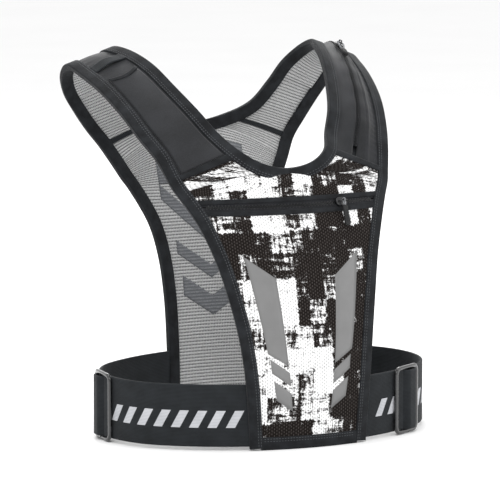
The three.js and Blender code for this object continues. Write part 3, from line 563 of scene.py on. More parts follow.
def sweep(name, origin, out, up, section, material, closed=False, **options):
    """A bar of the given section (out, up) along a run of stations."""
    count, size = len(origin), len(section)
    section = np.asarray(section, float)
    points = (origin[:, None, :] + out[:, None, :] * section[None, :, :1]
              + up[:, None, :] * section[None, :, 1:])
    run = arc_length(origin)
    around = arc_length(section)
    uvs = np.stack(np.broadcast_arrays(run[:, None], around[None, :]), axis=-1)
    faces = []
    for i in range(count if closed else count - 1):
        k = (i + 1) % count
        for j in range(size):
            n = (j + 1) % size
            faces.append((i * size + j, k * size + j, k * size + n, i * size + n))
    if not closed:
        faces.append(tuple(range(size))[::-1])
        faces.append(tuple((count - 1) * size + j for j in range(size)))
    return piece(name, points.reshape(-1, 3), faces, uvs.reshape(-1, 2), material, **options)


def rounded(low, high, bottom, top, radius=0.8, corner=3):
    """Rectangle section with round corners, as (out, up) points."""
    centres = [(high - radius, top - radius, 0), (low + radius, top - radius, 90),
               (low + radius, bottom + radius, 180), (high - radius, bottom + radius, 270)]
    section = []
    for x, y, first in centres:
        for k in range(corner + 1):
            angle = math.radians(first + 90 * k / corner)
            section.append((x + radius * math.cos(angle), y + radius * math.sin(angle)))
    return section


def edge_run(rows, t, side):
    """Origins and axes along a panel's edge: out of the cloth, and away from the body."""
    origin = surface(rows, t, side)
    up = normals(rows, t, side)
    run = unit(np.gradient(origin, axis=0))
    out = unit(np.cross(up, run))
    inside = surface(rows, t - 0.05 if t > 0.5 else t + 0.05, side) - origin
    flip = np.sign(np.sum(out * inside, axis=1))
    out *= -flip[:, None]
    up = np.cross(run, out)
    up *= np.sign(np.sum(up * normals(rows, t, side), axis=1))[:, None]
    return origin, out, up


def stitches(name, origin, out, up, lines, height, pitch=2.6, length=1.7, body="vest"):
    """Rows of raised thread at given distances inside an edge."""
    run = arc_length(origin)
    where = np.arange(pitch, run[-1] - pitch, pitch)
    o, m, n = (resampled(where, run, values) for values in (origin, out, up))
    d = unit(np.gradient(o, axis=0))
    points, faces = [], []
    profile = [(-0.5, 0, 0), (-0.3, 0.22, 0.16), (0.3, 0.22, 0.16), (0.5, 0, 0),
               (0.3, -0.22, 0.16), (-0.3, -0.22, 0.16)]
    for line in lines:
        for a, b, c, e in zip(o, m, n, d):
            base = len(points)
            for along, aside, lift in profile:
                points.append(a + b * (aside - line) + c * (height + lift) + e * along * length)
            faces.append((base, base + 1, base + 5))
            faces.append((base + 1, base + 2, base + 4, base + 5))
            faces.append((base + 2, base + 3, base + 4))
    uvs = np.zeros((len(points), 2))
    return piece(name, points, faces, uvs, THREAD, body=body)


# ---- Front panel ----

POCKET_TOP = row_at_height(199)
YOKE_BOTTOM = row_at_height(212)
ZIP_ROW = row_at_height(CHEST_ZIP_HEIGHT)
EDGE = 3.0
body_to = from_armhole(EDGE)
FIRST_ROW = 0.05


def pocket_height(row, t):
    """The pocket face stands a little proud between its seams and gathers at the bindings."""
    rise = smoothstep(row, 0.1, 1.5) * (1 - smoothstep(row, 4.6, POCKET_TOP))
    return 1.0 + 1.6 * rise * (1 - t ** 2) + pucker(row, t)


pocket_face = cloth("front_pocket_cloth", [(steps(FIRST_ROW, POCKET_TOP, 16), 0, body_to, 28, 0)],
                    (0.9, pocket_height), CAMO, replaces=["front_pocket_face", "front_pocket_bag"])


def yoke_patches(first, last):
    neck = steps(NECK_FRONT, last)
    return [(steps(first, NECK_FRONT), 0, body_to, 28, 0),
            (neck, 0.0, body_to, 28, 1), (neck, 0.0, body_to, 28, -1)]


yoke = cloth("front_yoke_cloth", yoke_patches(YOKE_BOTTOM, YOKE_SEAM),
             (0.9, lambda row, t: 1.0 + pucker(row, t, 0.06)), CAMO, replaces=["front_yoke_face"])
weld(yoke)
lining = cloth("front_lining_cloth", yoke_patches(FIRST_ROW, YOKE_SEAM), (0.9, -1.4), LINING_KNIT,
               replaces=["front_lining"])
weld(lining)


def front_t(x, row):
    return abs(x) / armhole_edge(row)[:, 0]


def bar_piece(name, corners, side, material, height, replaces):
    """Flat transfer from its four corners as (x, height), on the front panel."""
    a, b, c, d = (np.array(corner, float) for corner in corners)
    rows = max(int(abs(d[1] - a[1]) / 4), 3)
    points, uvs, columns = [], [], 5
    for i in range(rows + 1):
        left, right = a + (d - a) * i / rows, b + (c - b) * i / rows
        for j in range(columns + 1):
            x, z = left + (right - left) * j / columns
            row = row_at_height(z)
            t = front_t(x, row)
            lift = pocket_height(np.array([row]), t) + height
            points.append(raised(row, t, side, lift)[0])
            uvs.append((side * x, z))
    faces = [quad if side > 0 else quad[::-1] for quad in grid_faces(rows, columns)]
    return piece(name, points, faces, uvs, material, thickness=0.15, replaces=replaces)


BARS = {
    "long": [(22, 70), (40, 81), (54, 164), (28, 145)],
    "middle": [(20.2, 52.2), (37, 64.3), (38.3, 76.5), (21, 64)],
    "short": [(18.2, 30), (32.9, 40.2), (35.4, 57.6), (19.7, 45.9)],
}
SIDES = {"right": -1, "left": 1}
for side_name, side in SIDES.items():
    for bar_name, corners in BARS.items():
        bar_piece(f"reflective_film_{bar_name}_{side_name}", corners, side, FILM, 0.2,
                  [f"reflective_bar_{bar_name}_{side_name}"])


# ---- Zips ----

def zip_teeth(name, path, up, replaces, half=1.5, pitch=1.5, height=1.2):
    """Interlocked teeth along a path: each is a small block that leans across the middle."""
    run = arc_length(path)
    where = np.arange(0.5, run[-1], pitch)
    o, n = resampled(where, run, path), resampled(where, run, up)
    d = unit(np.gradient(o, axis=0))
    m = np.cross(n, d)
    points, faces = [], []
    for index, (a, b, c, e) in enumerate(zip(o, m, n, d)):
        lean = 0.5 if index % 2 else -0.5
        for part in (-1, 1):
            base = len(points)
            low, high = (0.1, half) if part > 0 else (-half, -0.1)
            low, high = low + lean, high + lean
            for top in (0, 1):
                shrink = 0.25 * top
                for x, y in ((low + shrink, -0.5), (high - shrink, -0.5),
                             (high - shrink, 0.5), (low + shrink, 0.5)):
                    points.append(a + b * x + e * y * (1 - shrink) + c * (0.3 + top * (height - 0.3)))
            faces.append((base + 4, base + 5, base + 6, base + 7))
            for k in range(4):
                q = (k + 1) % 4
                faces.append((base + k, base + q, base + 4 + q, base + 4 + k))
    return piece(name, points, faces, np.zeros((len(points), 2)), TEETH, replaces=replaces, smooth=False)


for label, first, last in (("lower", POCKET_TOP - 0.02, ZIP_ROW - 0.03),
                           ("upper", ZIP_ROW + 0.03, YOKE_BOTTOM + 0.02)):
    cloth(f"chest_zip_cloth_{label}", [(np.linspace(first, last, 5), 0, body_to, 28, 0)],
          (0.8, 0.7), ZIP_CLOTH, replaces=[f"chest_zip_tape_{label}"])
xs = np.linspace(-CHEST_ZIP_HALF, CHEST_ZIP_HALF, 80)
zip_t = np.abs(xs) / armhole_edge(ZIP_ROW)[0, 0]
zip_side = np.sign(xs + 1e-9)
chest_path = raised(ZIP_ROW, zip_t, zip_side, 0.2 + 0 * xs)
zip_teeth("chest_zip_teeth", chest_path, normals(ZIP_ROW, zip_t, zip_side), ["chest_zip_coil"])


def level_run(row, clear, count):
    """Origins and normals along one row, from side to side of the body."""
    share = np.linspace(-1, 1, count) * (1 - clear / across_length(row)[0])
    side_of = np.where(share < 0, -1.0, 1.0)
    return surface(row, np.abs(share), side_of), normals(row, np.abs(share), side_of)


# The pocket's upper hem turns over the lower tape, and the yoke's lower hem over the upper one.
for label, row, low, high in (("pocket", POCKET_TOP, -1.0, 3.2), ("yoke", YOKE_BOTTOM, -3.2, 1.0)):
    path, up_axis = level_run(row, 8, 90)
    run = unit(np.gradient(path, axis=0))
    sweep(f"chest_zip_hem_{label}", path, np.cross(up_axis, run), up_axis,
          rounded(low, high, 0.7, 1.9, 0.5), TAPE)


# ---- Straps ----

PAD_SWELL, POCKET_SWELL, PATCH_SWELL = 2.5, 5.0, 1.5
STRAP_APEX = 14.6
strap_rows = steps(YOKE_SEAM - 0.02, SHOULDER_SEAM + 0.05, 14)
FULL = (from_inner(EDGE), from_armhole(EDGE))
for side_name, side in SIDES.items():
    for label, rows, material in (("front", steps(YOKE_SEAM, STRAP_APEX, 14), LINING_KNIT),
                                  ("mesh", steps(STRAP_APEX, SHOULDER_SEAM + 0.05, 14), MESH)):
        pad = cloth(f"strap_pad_{label}_{side_name}", [(rows, *FULL, 16, side)],
                    (1.6, lambda row, t: -0.9 - PAD_SWELL * swell(row, t)), material,
                    replaces=[f"strap_lining_{side_name}", f"strap_pad_{side_name}"])

# Wearer's right: smooth face, patch pocket with a curved lip, elastic loop.
RIGHT, LEFT = -1, 1
cloth("strap_face_cloth_right", [(strap_rows, *FULL, 18, RIGHT)],
      (0.8, lambda row, t: 1.0 + 0.6 * swell(row, t) + pucker(row, t)), STRAP_KNIT,
      replaces=["strap_face_right"])
LIP_ROW, LIP_DIP = 13.25, 0.16


def patch_piece(name, first, last, height, thickness, material, replaces, row_count):
    """Patch on the right strap whose end rows vary across it."""
    columns, points, uvs = 16, [], []
    for i in range(row_count + 1):
        for j in range(columns + 1):
            u = 1 - j / columns
            row = first(u) + (last(u) - first(u)) * i / row_count
            t = float(between(0)(row)[0] + (between(1)(row) - between(0)(row))[0] * u)
            points.append(raised(row, t, RIGHT, height(np.array([row]), np.array([t])))[0])
            uvs.append((t * 60, row * 33))
    return piece(name, points, grid_faces(row_count, columns), uvs, material, thickness=thickness,
                 replaces=replaces)


def lip(u):
    return LIP_ROW - LIP_DIP * math.sin(math.pi * u)


patch_piece("strap_patch_pocket_cloth", lambda u: YOKE_SEAM + 0.2, lambda u: lip(u) - 0.1,
            lambda row, t: 2.3 + PATCH_SWELL * swell(row, t), 0.9, STRAP_KNIT,
            ["strap_patch_pocket_right"], 50)
patch_piece("strap_pocket_lip_tape", lambda u: lip(u) - 0.13, lip,
            lambda row, t: 3.0 + PATCH_SWELL * swell(row, t), 1.2, TAPE,
            ["strap_pocket_lip_right"], 4)
cloth("strap_elastic_loop_cloth", [(np.linspace(13.75, 14.12, 9), between(0, 9), between(1, 9), 16, RIGHT)],
      (1.2, lambda row, t: 2.4 + 2.2 * swell(row, t)), ELASTIC, replaces=["strap_elastic_loop_right"])


# Wearer's left: pleated stretch pocket with a zip along it.
def pocket_swell(row, t):
    return 1.0 + POCKET_SWELL * swell(row, t) + 0.25 * np.sin(row * 9.0) * swell(row, t)


def pleat_height(row, t):
    u = (t - between(0)(row)) / (between(1)(row) - between(0)(row))
    fold = 1.1 * np.clip(1 - np.abs(u - 0.76) / 0.06, 0, 1)
    return pocket_swell(row, t) + fold + pucker(row, t, 0.3)


cloth("strap_pocket_inner_cloth", [(strap_rows, FULL[0], between(0.36), 10, LEFT)],
      (0.9, pocket_swell), STRAP_KNIT, replaces=["strap_pocket_inner_panel_left"])
cloth("strap_pocket_middle_cloth", [(strap_rows, between(0.48), between(0.72), 8, LEFT)],
      (0.9, pocket_swell), PLEAT_KNIT, replaces=["strap_pocket_middle_panel_left"])
cloth("strap_pocket_pleat_cloth", [(strap_rows, between(0.68), FULL[1], 18, LEFT)],
      (0.9, pleat_height), STRAP_KNIT, replaces=["strap_pocket_pleat_left"])
SHOULDER_ZIP_SHARE = 0.42
zip_rows = steps(9.6, 16.2, 14)
for label, first, last in (("inner", 0.34, 0.405), ("outer", 0.435, 0.5)):
    cloth(f"shoulder_zip_cloth_{label}", [(zip_rows, between(first), between(last), 3, LEFT)],
          (0.7, lambda row, t: pocket_swell(row, t) - 0.3), ZIP_CLOTH,
          replaces=[f"shoulder_zip_tape_{label}"])
zip_line_t = between(SHOULDER_ZIP_SHARE)(zip_rows)
shoulder_path = raised(zip_rows, zip_line_t, LEFT, pocket_swell(zip_rows, zip_line_t) - 0.6)
zip_teeth("shoulder_zip_teeth", shoulder_path, normals(zip_rows, zip_line_t, LEFT), ["shoulder_zip_coil"],
          half=1.1)
seam_rows = np.linspace(8.84, 9.18, 9)
for side_name, side in SIDES.items():
    cloth(f"yoke_seam_cloth_{side_name}",
          [(seam_rows, from_inner(8), from_armhole(8), 18, side)],
          (0.8, lambda row, t: 2.0 + 0.3 * np.sin(np.pi * (row - seam_rows[0]) / 0.34)), TAPE,
          replaces=[f"yoke_seam_tape_{side_name}"])


# ---- Back panel ----

back_neck = steps(SHOULDER_SEAM - 0.05, NECK_BACK)
back = cloth("back_mesh_cloth", [
    (back_neck, 0.0, body_to, 26, 1), (back_neck, 0.0, body_to, 26, -1),
    (steps(NECK_BACK, LAST - 0.05, 14), 0, body_to, 26, 0),
], (1.6, lambda row, t: 0.7 + pucker(row, t, 0.3)), MESH, replaces=["back_mesh_panel"])
weld(back)
tab_rows = np.linspace(19.95, 20.2, 7)
for side_name, side in SIDES.items():
    cloth(f"back_tab_cloth_{side_name}",
          [(tab_rows, from_inner(7), from_armhole(7), 16, side)],
          (1.4, 2.3), ELASTIC, replaces=[f"back_webbing_tab_{side_name}"])
    cloth(f"back_tab_inside_{side_name}",
          [(tab_rows, from_inner(7), from_armhole(7), 16, side)],
          (0.8, -1.2), ELASTIC)


PRINT_FACES = (("outside", 1.05), ("inside", -1.05))


def chevron(name, half_width, tip, ends, depth):
    """V-shaped print on both faces of the mesh."""
    for face, lift in PRINT_FACES:
        points, uvs = [], []
        columns, rows = 24, 6
        for i in range(rows + 1):
            for j in range(columns + 1):
                x = half_width * (2 * j / columns - 1)
                z = tip + (ends - tip) * abs(x) / half_width + depth * i / rows
                row = row_at_height(z, NECK_BACK, LAST)
                points.append(raised(row, front_t(x, row), 1.0 if x >= 0 else -1.0, lift)[0])
                uvs.append((x, z))
        faces = [(a, d, c, b) for a, b, c, d in grid_faces(rows, columns)]
        piece(f"{name}_{face}", points, faces, uvs, BACK_INK, thickness=0.1,
              replaces=[name] if face == "outside" else ())


chevron("back_chevron_upper", 44, 150, 190, 14)
arm_rows = np.array([row_at_height(z, NECK_BACK, LAST) for z in np.linspace(244, 204, 14)])
arm_limits = [lambda row, x=x: front_t(x, row) for x in (26, 44)]
for side_name, side in SIDES.items():
    for face, lift in PRINT_FACES:
        cloth(f"back_arm_print_{face}_{side_name}", [(arm_rows, *arm_limits, 6, side)], (0.1, lift),
              BACK_INK)
chevron("back_chevron_middle", 34, 118, 142, 12)
chevron("back_chevron_lower", 30, 84, 104, 18)


# ---- Bindings ----

BINDING = rounded(-BINDING_WIDTH, 1.4, -3.6, 2.4, 1.1)
STITCH_LINES = (8.6, 6.4)
all_rows = steps(0, LAST, 14)
for side_name, side in SIDES.items():
    run = edge_run(all_rows, 1.0, side)
    sweep(f"armhole_tape_{side_name}", *run, BINDING, TAPE, replaces=[f"armhole_binding_{side_name}"])
    stitches(f"armhole_stitching_{side_name}", *run, STITCH_LINES, 2.35)
NECK_SMOOTHING = 12
neck_rows = steps(NECK_FRONT, NECK_BACK, 14)
origin, out, up = edge_run(neck_rows, 0.0, 1)
for axes in (out, up):
    axes[[0, -1], 0] = 0
    axes[[0, -1]] /= np.linalg.norm(axes[[0, -1]], axis=1)[:, None]
neck_run = [np.vstack([a, (a[1:-1] * [-1, 1, 1])[::-1]]) for a in (origin, out, up)]
for axes in neck_run[1:]:
    for _ in range(NECK_SMOOTHING):
        axes += np.roll(axes, 1, axis=0) + np.roll(axes, -1, axis=0)
        axes[:] = unit(axes)
sweep("neck_tape", *neck_run, BINDING, TAPE, closed=True, replaces=["neck_binding"])
stitches("neck_stitching", *neck_run, STITCH_LINES, 2.35)
for label, row in (("front", 0), ("back", LAST)):
    origin, up = level_run(row, 9, 60)
    up[:, 2] = 0
    up = unit(up)
    out = np.tile([0.0, 0.0, -1.0], (len(origin), 1))
    sweep(f"{label}_hem_tape", origin, out, up, BINDING, TAPE, replaces=[f"{label}_hem_binding"])
    stitches(f"{label}_hem_stitching", origin, out, up, STITCH_LINES, 2.35)


# ---- Waist belts ----

FRONT_RADIUS, FRONT_CENTRE, SIDE_RADIUS, SIDE_CENTRE = 190.5, 85.5, 80.0, 70.0
ARC_JOIN = math.radians(39.3)
SIDE_SPREAD = math.pi / 2 - ARC_JOIN


def belt_points(arc, angles, side):
    """Points on the belt oval and their outward directions, for one arc."""
    sine, cosine = np.sin(angles), np.cos(angles)
    centre, radius, x, y = {
        "front": ((0, FRONT_CENTRE), FRONT_RADIUS, sine, -cosine),
        "back": ((0, -FRONT_CENTRE), FRONT_RADIUS, sine, cosine),
        "side": ((SIDE_CENTRE, 0), SIDE_RADIUS, cosine, sine),
    }[arc]
    out = np.column_stack([side * x, y, 0 * x])
    origin = np.column_stack([side * (centre[0] + radius * x), centre[1] + radius * y, 0 * x])
    return origin, out


def belt_run(side, first=math.asin(54.0 / FRONT_RADIUS), last=math.asin(47.0 / FRONT_RADIUS)):
    spans = [("front", np.linspace(first, ARC_JOIN, 24)[:-1]),
             ("side", np.linspace(-SIDE_SPREAD, SIDE_SPREAD, 46)),
             ("back", np.linspace(ARC_JOIN, last, 26)[1:])]
    parts = [belt_points(arc, angles, side) for arc, angles in spans]
    return np.vstack([p[0] for p in parts]), np.vstack([p[1] for p in parts])


def belt_sweep(name, origin, out, low, high, bottom, top, material, replaces, body="vest"):
    up = np.tile([0.0, 0.0, 1.0], (len(origin), 1))
    section = rounded(low, high, bottom, top, min(0.9, (high - low) * 0.45))
    return sweep(name, origin, out, up, section, material, replaces=replaces, body=body)


HATCH_BOTTOM, HATCH_TOP, HATCH_WIDTH, HATCH_PITCH, HATCH_LEAN = 17.0, 32.0, 8.0, 16.0, 8.0
HATCH_LIFT = 1.36


def belt_hatch(name, origin, out, side):
    """Slanted bars printed round the belt."""
    run = arc_length(origin)
    points, uvs, faces = [], [], []
    for start in np.arange(14, run[-1] - 16, HATCH_PITCH):
        base = len(points)
        for i in range(4):
            z = HATCH_BOTTOM + (HATCH_TOP - HATCH_BOTTOM) * i / 3
            for j in range(4):
                s = start + HATCH_WIDTH * j / 3 + side * HATCH_LEAN * i / 3
                place, away = resampled([s], run, origin)[0], resampled([s], run, out)[0]
                points.append(place + away * HATCH_LIFT + [0, 0, z])
                uvs.append((s, z))
        for i in range(3):
            for j in range(3):
                k = base + i * 4 + j
                quad = (k, k + 1, k + 5, k + 4)
                faces.append(quad if side > 0 else quad[::-1])
    return piece(name, points, faces, uvs, BELT_INK)


for side_name, side in SIDES.items():
    origin, out = belt_run(side)
    belt_sweep(f"waist_belt_cloth_{side_name}", origin, out, -1.2, 1.2, 0, BELT_HEIGHT, ELASTIC,
               [f"waist_belt_{side_name}"])
    belt_hatch(f"belt_hatch_{side_name}", origin, out, side)

ADJUSTERS = {
    "left": ("front", math.radians(33.6), FRONT_RADIUS, 1),
    "right": ("side", math.radians(3.0), SIDE_RADIUS, -1),
}
front_angles = np.linspace(math.asin(56 / FRONT_RADIUS), ARC_JOIN, 20)
right_parts = [belt_points("front", front_angles[:-1], -1),
               belt_points("side", np.linspace(-SIDE_SPREAD, ADJUSTERS["right"][1], 30), -1)]
return_runs = {
    "right": tuple(np.vstack([p[k] for p in right_parts]) for k in (0, 1)),
    "left": belt_points("front", np.linspace(front_angles[0], ADJUSTERS["left"][1], 20), 1),
}
for side_name, (origin, out) in return_runs.items():
    belt_sweep(f"belt_return_cloth_{side_name}", origin, out, -3.8, -1.6, 0.5, BELT_HEIGHT - 0.5,
               ELASTIC, [f"belt_return_{side_name}"])


def adjuster(side_name, arc, angle, radius, side):
    """Rounded tri-glide frame with a centre bar, and the webbing that rises over the bar."""
    body = f"adjuster_{side_name}"

    def place(along, height, lift):
        origin, out = belt_points(arc, np.array([angle + along / radius]), side)
        return origin[0] + out[0] * lift + np.array([0, 0, height])

    def bar(points, half, lift, depth):
        path = np.array([place(a, z, lift) for a, z in points])
        run = unit(np.gradient(path, axis=0))
        up = np.array([place(a, z, lift + 1) - place(a, z, lift) for a, z in points])
        section = rounded(-half, half, -depth / 2, depth / 2, min(half, depth / 2) * 0.85, 4)
        return path, np.cross(up, run), up, section

    low, high, reach = -1.1, BELT_HEIGHT + 1.1, 16.9
    corner, outline = 5.0, []
    for cx, cz, first in ((reach - corner, high - corner, 0), (corner - reach, high - corner, 90),
                          (corner - reach, low + corner, 180), (reach - corner, low + corner, 270)):
        for k in range(9):
            turn = math.radians(first + 90 * k / 8)
            outline.append((cx + corner * math.cos(turn), cz + corner * math.sin(turn)))
    path, across, up, section = bar(outline, 1.9, 3.6, 3.4)
    closed_run = unit(np.roll(path, -1, axis=0) - np.roll(path, 1, axis=0))
    sweep(f"adjuster_ring_{side_name}", path, np.cross(up, closed_run), up, section, PLASTIC,
          closed=True, body=body, replaces=[f"adjuster_frame_{side_name}"])
    centre = [(0.0, z) for z in np.linspace(low, high, 20)]
    path, across, up, section = bar(centre, 2.2, 3.2, 2.6)
    sweep(f"adjuster_bar_{side_name}", path, across, up, section, PLASTIC, body=body)
    half = 13.3
    alongs = np.linspace(-half, half, 34)
    rise = smoothstep(alongs, -6.5, -0.5) * (1 - smoothstep(alongs, 7.5, half))
    lifts = 1.7 + 4.6 * rise
    origin = np.array([place(a, 0, lift) for a, lift in zip(alongs, lifts)])
    ahead = unit(np.gradient(origin, axis=0))
    upward = np.tile([0.0, 0.0, 1.0], (len(alongs), 1))
    away = np.cross(ahead, upward) * side
    sweep(f"adjuster_webbing_cloth_{side_name}", origin, away, upward,
          rounded(0, 1.9, 0.8, BELT_HEIGHT - 0.8, 0.8), ELASTIC, body=body,
          replaces=[f"adjuster_webbing_{side_name}"])


for side_name, values in ADJUSTERS.items():
    adjuster(side_name, *values)


# ---- Zip sliders and pullers ----

SLIDER_BASE, SLIDER_TOP, EYE_LIFT, CORD_LIFT = 1.9, 4.2, 7.75, 5.75


def local_points(basis, rows):
    """Points of a small part, given as (along, across, away), in the vest's millimetres."""
    origin, along, across, away = basis
    rows = np.asarray(rows, float)
    return origin + rows[:, :1] * along + rows[:, 1:2] * across + rows[:, 2:] * away


def tube(name, basis, route, radius, material, body, closed=False, replaces=(), flat=1.0):
    """Round bar along a smooth route given in a small part's own axes."""
    curve = spline(np.asarray(route, float), closed=closed)
    count = len(route)
    where = np.linspace(0, count if closed else count - 1, 8 * count, endpoint=not closed)
    path = local_points(basis, curve(where))
    ahead = unit(np.roll(path, -1, axis=0) - np.roll(path, 1, axis=0) if closed
                 else np.gradient(path, axis=0))
    guide = basis[3] + 0.31 * basis[2]
    side_axis = unit(np.cross(ahead, guide))
    section = [(radius * math.cos(a), radius * flat * math.sin(a))
               for a in np.linspace(0, 2 * math.pi, 12, endpoint=False)]
    return sweep(name, path, side_axis, np.cross(side_axis, ahead), section, material, closed=closed,
                 body=body, replaces=replaces)


def slab(name, basis, outline, low, high, material, body, replaces=(), bevel=0.5):
    """Moulded plate from an outline in (along, across), with round edges."""
    count = len(outline)
    rows = [(x, y, low) for x, y in outline] + [(x, y, high) for x, y in outline]
    faces = [tuple(range(count))[::-1], tuple(range(count, 2 * count))]
    faces += [(k, (k + 1) % count, count + (k + 1) % count, count + k) for k in range(count)]
    made = piece(name, local_points(basis, rows), faces, np.zeros((2 * count, 2)), material,
                 body=body, replaces=replaces)
    edge = made.modifiers.new("edge", "BEVEL")
    edge.width = bevel * MM
    edge.segments = 3
    edge.limit_method = "ANGLE"
    return made


def pill(length, width, radius, corner=5):
    return rounded(-length / 2, length / 2, -width / 2, width / 2, radius, corner)


def slider(name, basis, body, cad_node):
    """Zip slider: a waisted top plate, guide flanges and a bail."""
    waist = [(5.6, 2.6), (2.2, 3.9), (-2.6, 3.9), (-5.4, 2.4), (-5.4, -2.4), (-2.6, -3.9), (2.2, -3.9),
             (5.6, -2.6)]
    slab(f"{name}_plate", basis, waist, SLIDER_BASE + 0.6, SLIDER_TOP, TEETH, body, [cad_node], 0.6)
    slab(f"{name}_flange", basis, pill(9.6, 6.2, 1.6), SLIDER_BASE, SLIDER_BASE + 0.9, TEETH, body,
         bevel=0.3)
    arch = [(-3.6, 0, 3.9), (-3.5, 0, 6.2), (-2.4, 0, 7.7), (0, 0, 7.9), (2.4, 0, 7.7), (3.5, 0, 6.2),
            (3.6, 0, 3.9)]
    tube(f"{name}_bail", basis, arch, 0.62, TEETH, body)


def track_basis(point, centre, axis, outward):
    radial = point - centre
    radial = radial - axis * radial.dot(axis)
    along = np.cross(axis, radial)
    along /= np.linalg.norm(along)
    away = outward - along * outward.dot(along)
    away /= np.linalg.norm(away)
    return point, along, np.cross(away, along), away


def circle_through(a, b, c):
    ab, ac = b - a, c - a
    axis = np.cross(ab, ac)
    scale = 1 / (2 * axis.dot(axis))
    centre = a + np.cross(axis, ab) * ac.dot(ac) * scale + np.cross(ac, axis) * ab.dot(ab) * scale
    return centre, axis / np.linalg.norm(axis)


UP = np.array([0.0, 0.0, 1.0])
slider_t = CHEST_SLIDER_X / armhole_edge(ZIP_ROW)[0, 0]
end_t = CHEST_ZIP_HALF / armhole_edge(ZIP_ROW)[0, 0]
chest_centre, _ = circle_through(*(surface(ZIP_ROW, t, s)[0] for t, s in ((end_t, -1), (0, 1), (end_t, 1))))
chest_basis = track_basis(surface(ZIP_ROW, slider_t, 1)[0], chest_centre, UP,
                          normals(ZIP_ROW, slider_t, 1)[0])
slider("chest_slider", chest_basis, "chest_slider", "chest_zip_slider")


def tilted(basis, lift, angle):
    """Axes moved out to a pivot and turned about the zip's own direction."""
    origin, along, across, away = basis
    cosine, sine = math.cos(angle), math.sin(angle)
    return (origin + away * lift, along, across * cosine + away * sine, away * cosine - across * sine)


pull_basis = tilted(chest_basis, EYE_LIFT, math.radians(7))
tube("chest_puller_loop", pull_basis,
     [(0, 1.6, 0), (0, 0.6, 1.5), (0, -1.6, 1.3), (0, -5.2, 0.6), (0, -5.2, -0.4), (0, -1.6, -1.3),
      (0, 0.6, -1.5)], 0.55, CORD, "chest_puller", closed=True)
grip = [(1.7, -4.4), (2.5, -6.5), (2.3, -14.0), (2.9, -21.0), (1.6, -23.0), (-1.6, -23.0), (-2.9, -21.0),
        (-2.3, -14.0), (-2.5, -6.5), (-1.7, -4.4)]
slab("chest_puller_grip", pull_basis, grip[::-1], -1.3, 1.3, RUBBER, "chest_puller",
     ["chest_zip_puller"], 0.7)
for index in range(5):
    y = -9.0 - 2.4 * index
    tube(f"chest_puller_rib_{index}", pull_basis, [(-1.9, y, 1.25), (0, y, 1.45), (1.9, y, 1.25)], 0.4,
         RUBBER, "chest_puller")


def zip_line(row):
    t = between(SHOULDER_ZIP_SHARE)(row)
    return raised(row, t, LEFT, POCKET_SWELL * swell(np.atleast_1d(float(row)), t))[0]


SLIDER_ROW = 14.2
shoulder_centre, shoulder_axis = circle_through(zip_line(10.6), zip_line(12.9), zip_line(15.2))
shoulder_basis = track_basis(zip_line(SLIDER_ROW), shoulder_centre, shoulder_axis,
                             normals(SLIDER_ROW, between(SHOULDER_ZIP_SHARE)(SLIDER_ROW), LEFT)[0])
slider("shoulder_slider", shoulder_basis, "shoulder_slider", "shoulder_zip_slider")
PULL_TILT = math.radians(7)
cord_origin, cord_along, cord_across, cord_away = tilted(shoulder_basis, CORD_LIFT, 0.0)
cord_basis = (cord_origin, cord_along * math.cos(PULL_TILT) + cord_away * math.sin(PULL_TILT), cord_across,
              cord_away * math.cos(PULL_TILT) - cord_along * math.sin(PULL_TILT))
tube("shoulder_puller_loop", cord_basis,
     [(-15, -1, -1.2), (-8, -2.4, -0.6), (-1.5, -3, 0), (0, -1.8, 0), (0, 1.8, 0), (-1.5, 3, 0),
      (-8, 2.4, -0.6), (-15, 1, -1.2)], 0.85, CORD, "shoulder_puller", replaces=["shoulder_puller_cord"])
end_shape = [(x - 21.2, y) for x, y in pill(12.4, 5.4, 2.0)]
slab("shoulder_puller_end", cord_basis, end_shape, -2.8, 0.4, RUBBER, "shoulder_puller",
     ["shoulder_puller_grip"], 0.8)
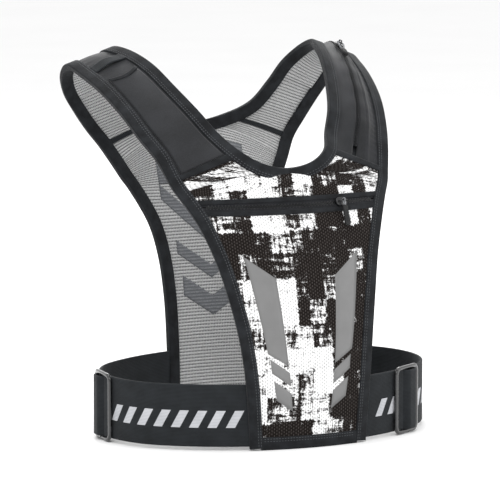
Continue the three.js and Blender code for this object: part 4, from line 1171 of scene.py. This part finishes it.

# ---- Studio ----

def studio():
    floor_mesh = bpy.data.meshes.new("floor")
    reach = 12.0
    floor_mesh.from_pydata([(-reach, -reach, 0), (reach, -reach, 0), (reach, reach, 0), (-reach, reach, 0)],
                           [], [(0, 1, 2, 3)])
    floor = bpy.data.objects.new("floor", floor_mesh)
    bpy.context.collection.objects.link(floor)
    paint = Shader("floor_paint", roughness=0.9)
    paint.color(paint.mix(paint.noise(paint.place(), 0.004), rgb("#f6f6f6"), rgb("#fbfbfb")))
    floor_mesh.materials.append(paint.material)
    world = bpy.data.worlds.new("studio")
    bpy.context.scene.world = world
    world.use_nodes = True
    background = world.node_tree.nodes["Background"]
    background.inputs["Color"].default_value = (1.0, 1.0, 1.0, 1.0)
    background.inputs["Strength"].default_value = 1.0
    lamps = {
        "key": ((-1.3, -1.7, 1.9), 1.2, 26),
        "fill": ((1.9, -1.2, 1.0), 1.4, 10),
        "rim": ((0.6, 1.9, 1.6), 1.0, 20),
        "top": ((0.0, 0.1, 2.2), 1.0, 12),
    }
    for name, (place, size, power) in lamps.items():
        light = bpy.data.lights.new(name, "AREA")
        light.size = size
        light.energy = power
        lamp = bpy.data.objects.new(name, light)
        lamp.location = place
        toward = Vector((0, 0.1, 0.17)) - Vector(place)
        lamp.rotation_euler = toward.to_track_quat("-Z", "Y").to_euler()
        bpy.context.collection.objects.link(lamp)


def camera():
    data = bpy.data.cameras.new("camera")
    data.sensor_width = 36
    data.lens = 282
    data.dof.use_dof = False
    distance, elevation = 3.5, math.radians(7.75)
    back_way = Vector((-0.4067, -0.9135, math.tan(elevation))).normalized()
    pivot = Vector((0, 0.105, 0.1534))
    turn = back_way.to_track_quat("Z", "Y").to_matrix()
    right, above = turn.col[0], turn.col[1]
    aim = pivot - right * 0.0107 + above * 0.0076
    made = bpy.data.objects.new("camera", data)
    made.matrix_world = Matrix.Translation(aim + back_way * distance) @ turn.to_4x4()
    data.clip_end = 100
    bpy.context.collection.objects.link(made)
    bpy.context.scene.camera = made


studio()
camera()
bpy.context.scene.view_settings.view_transform = "Standard"
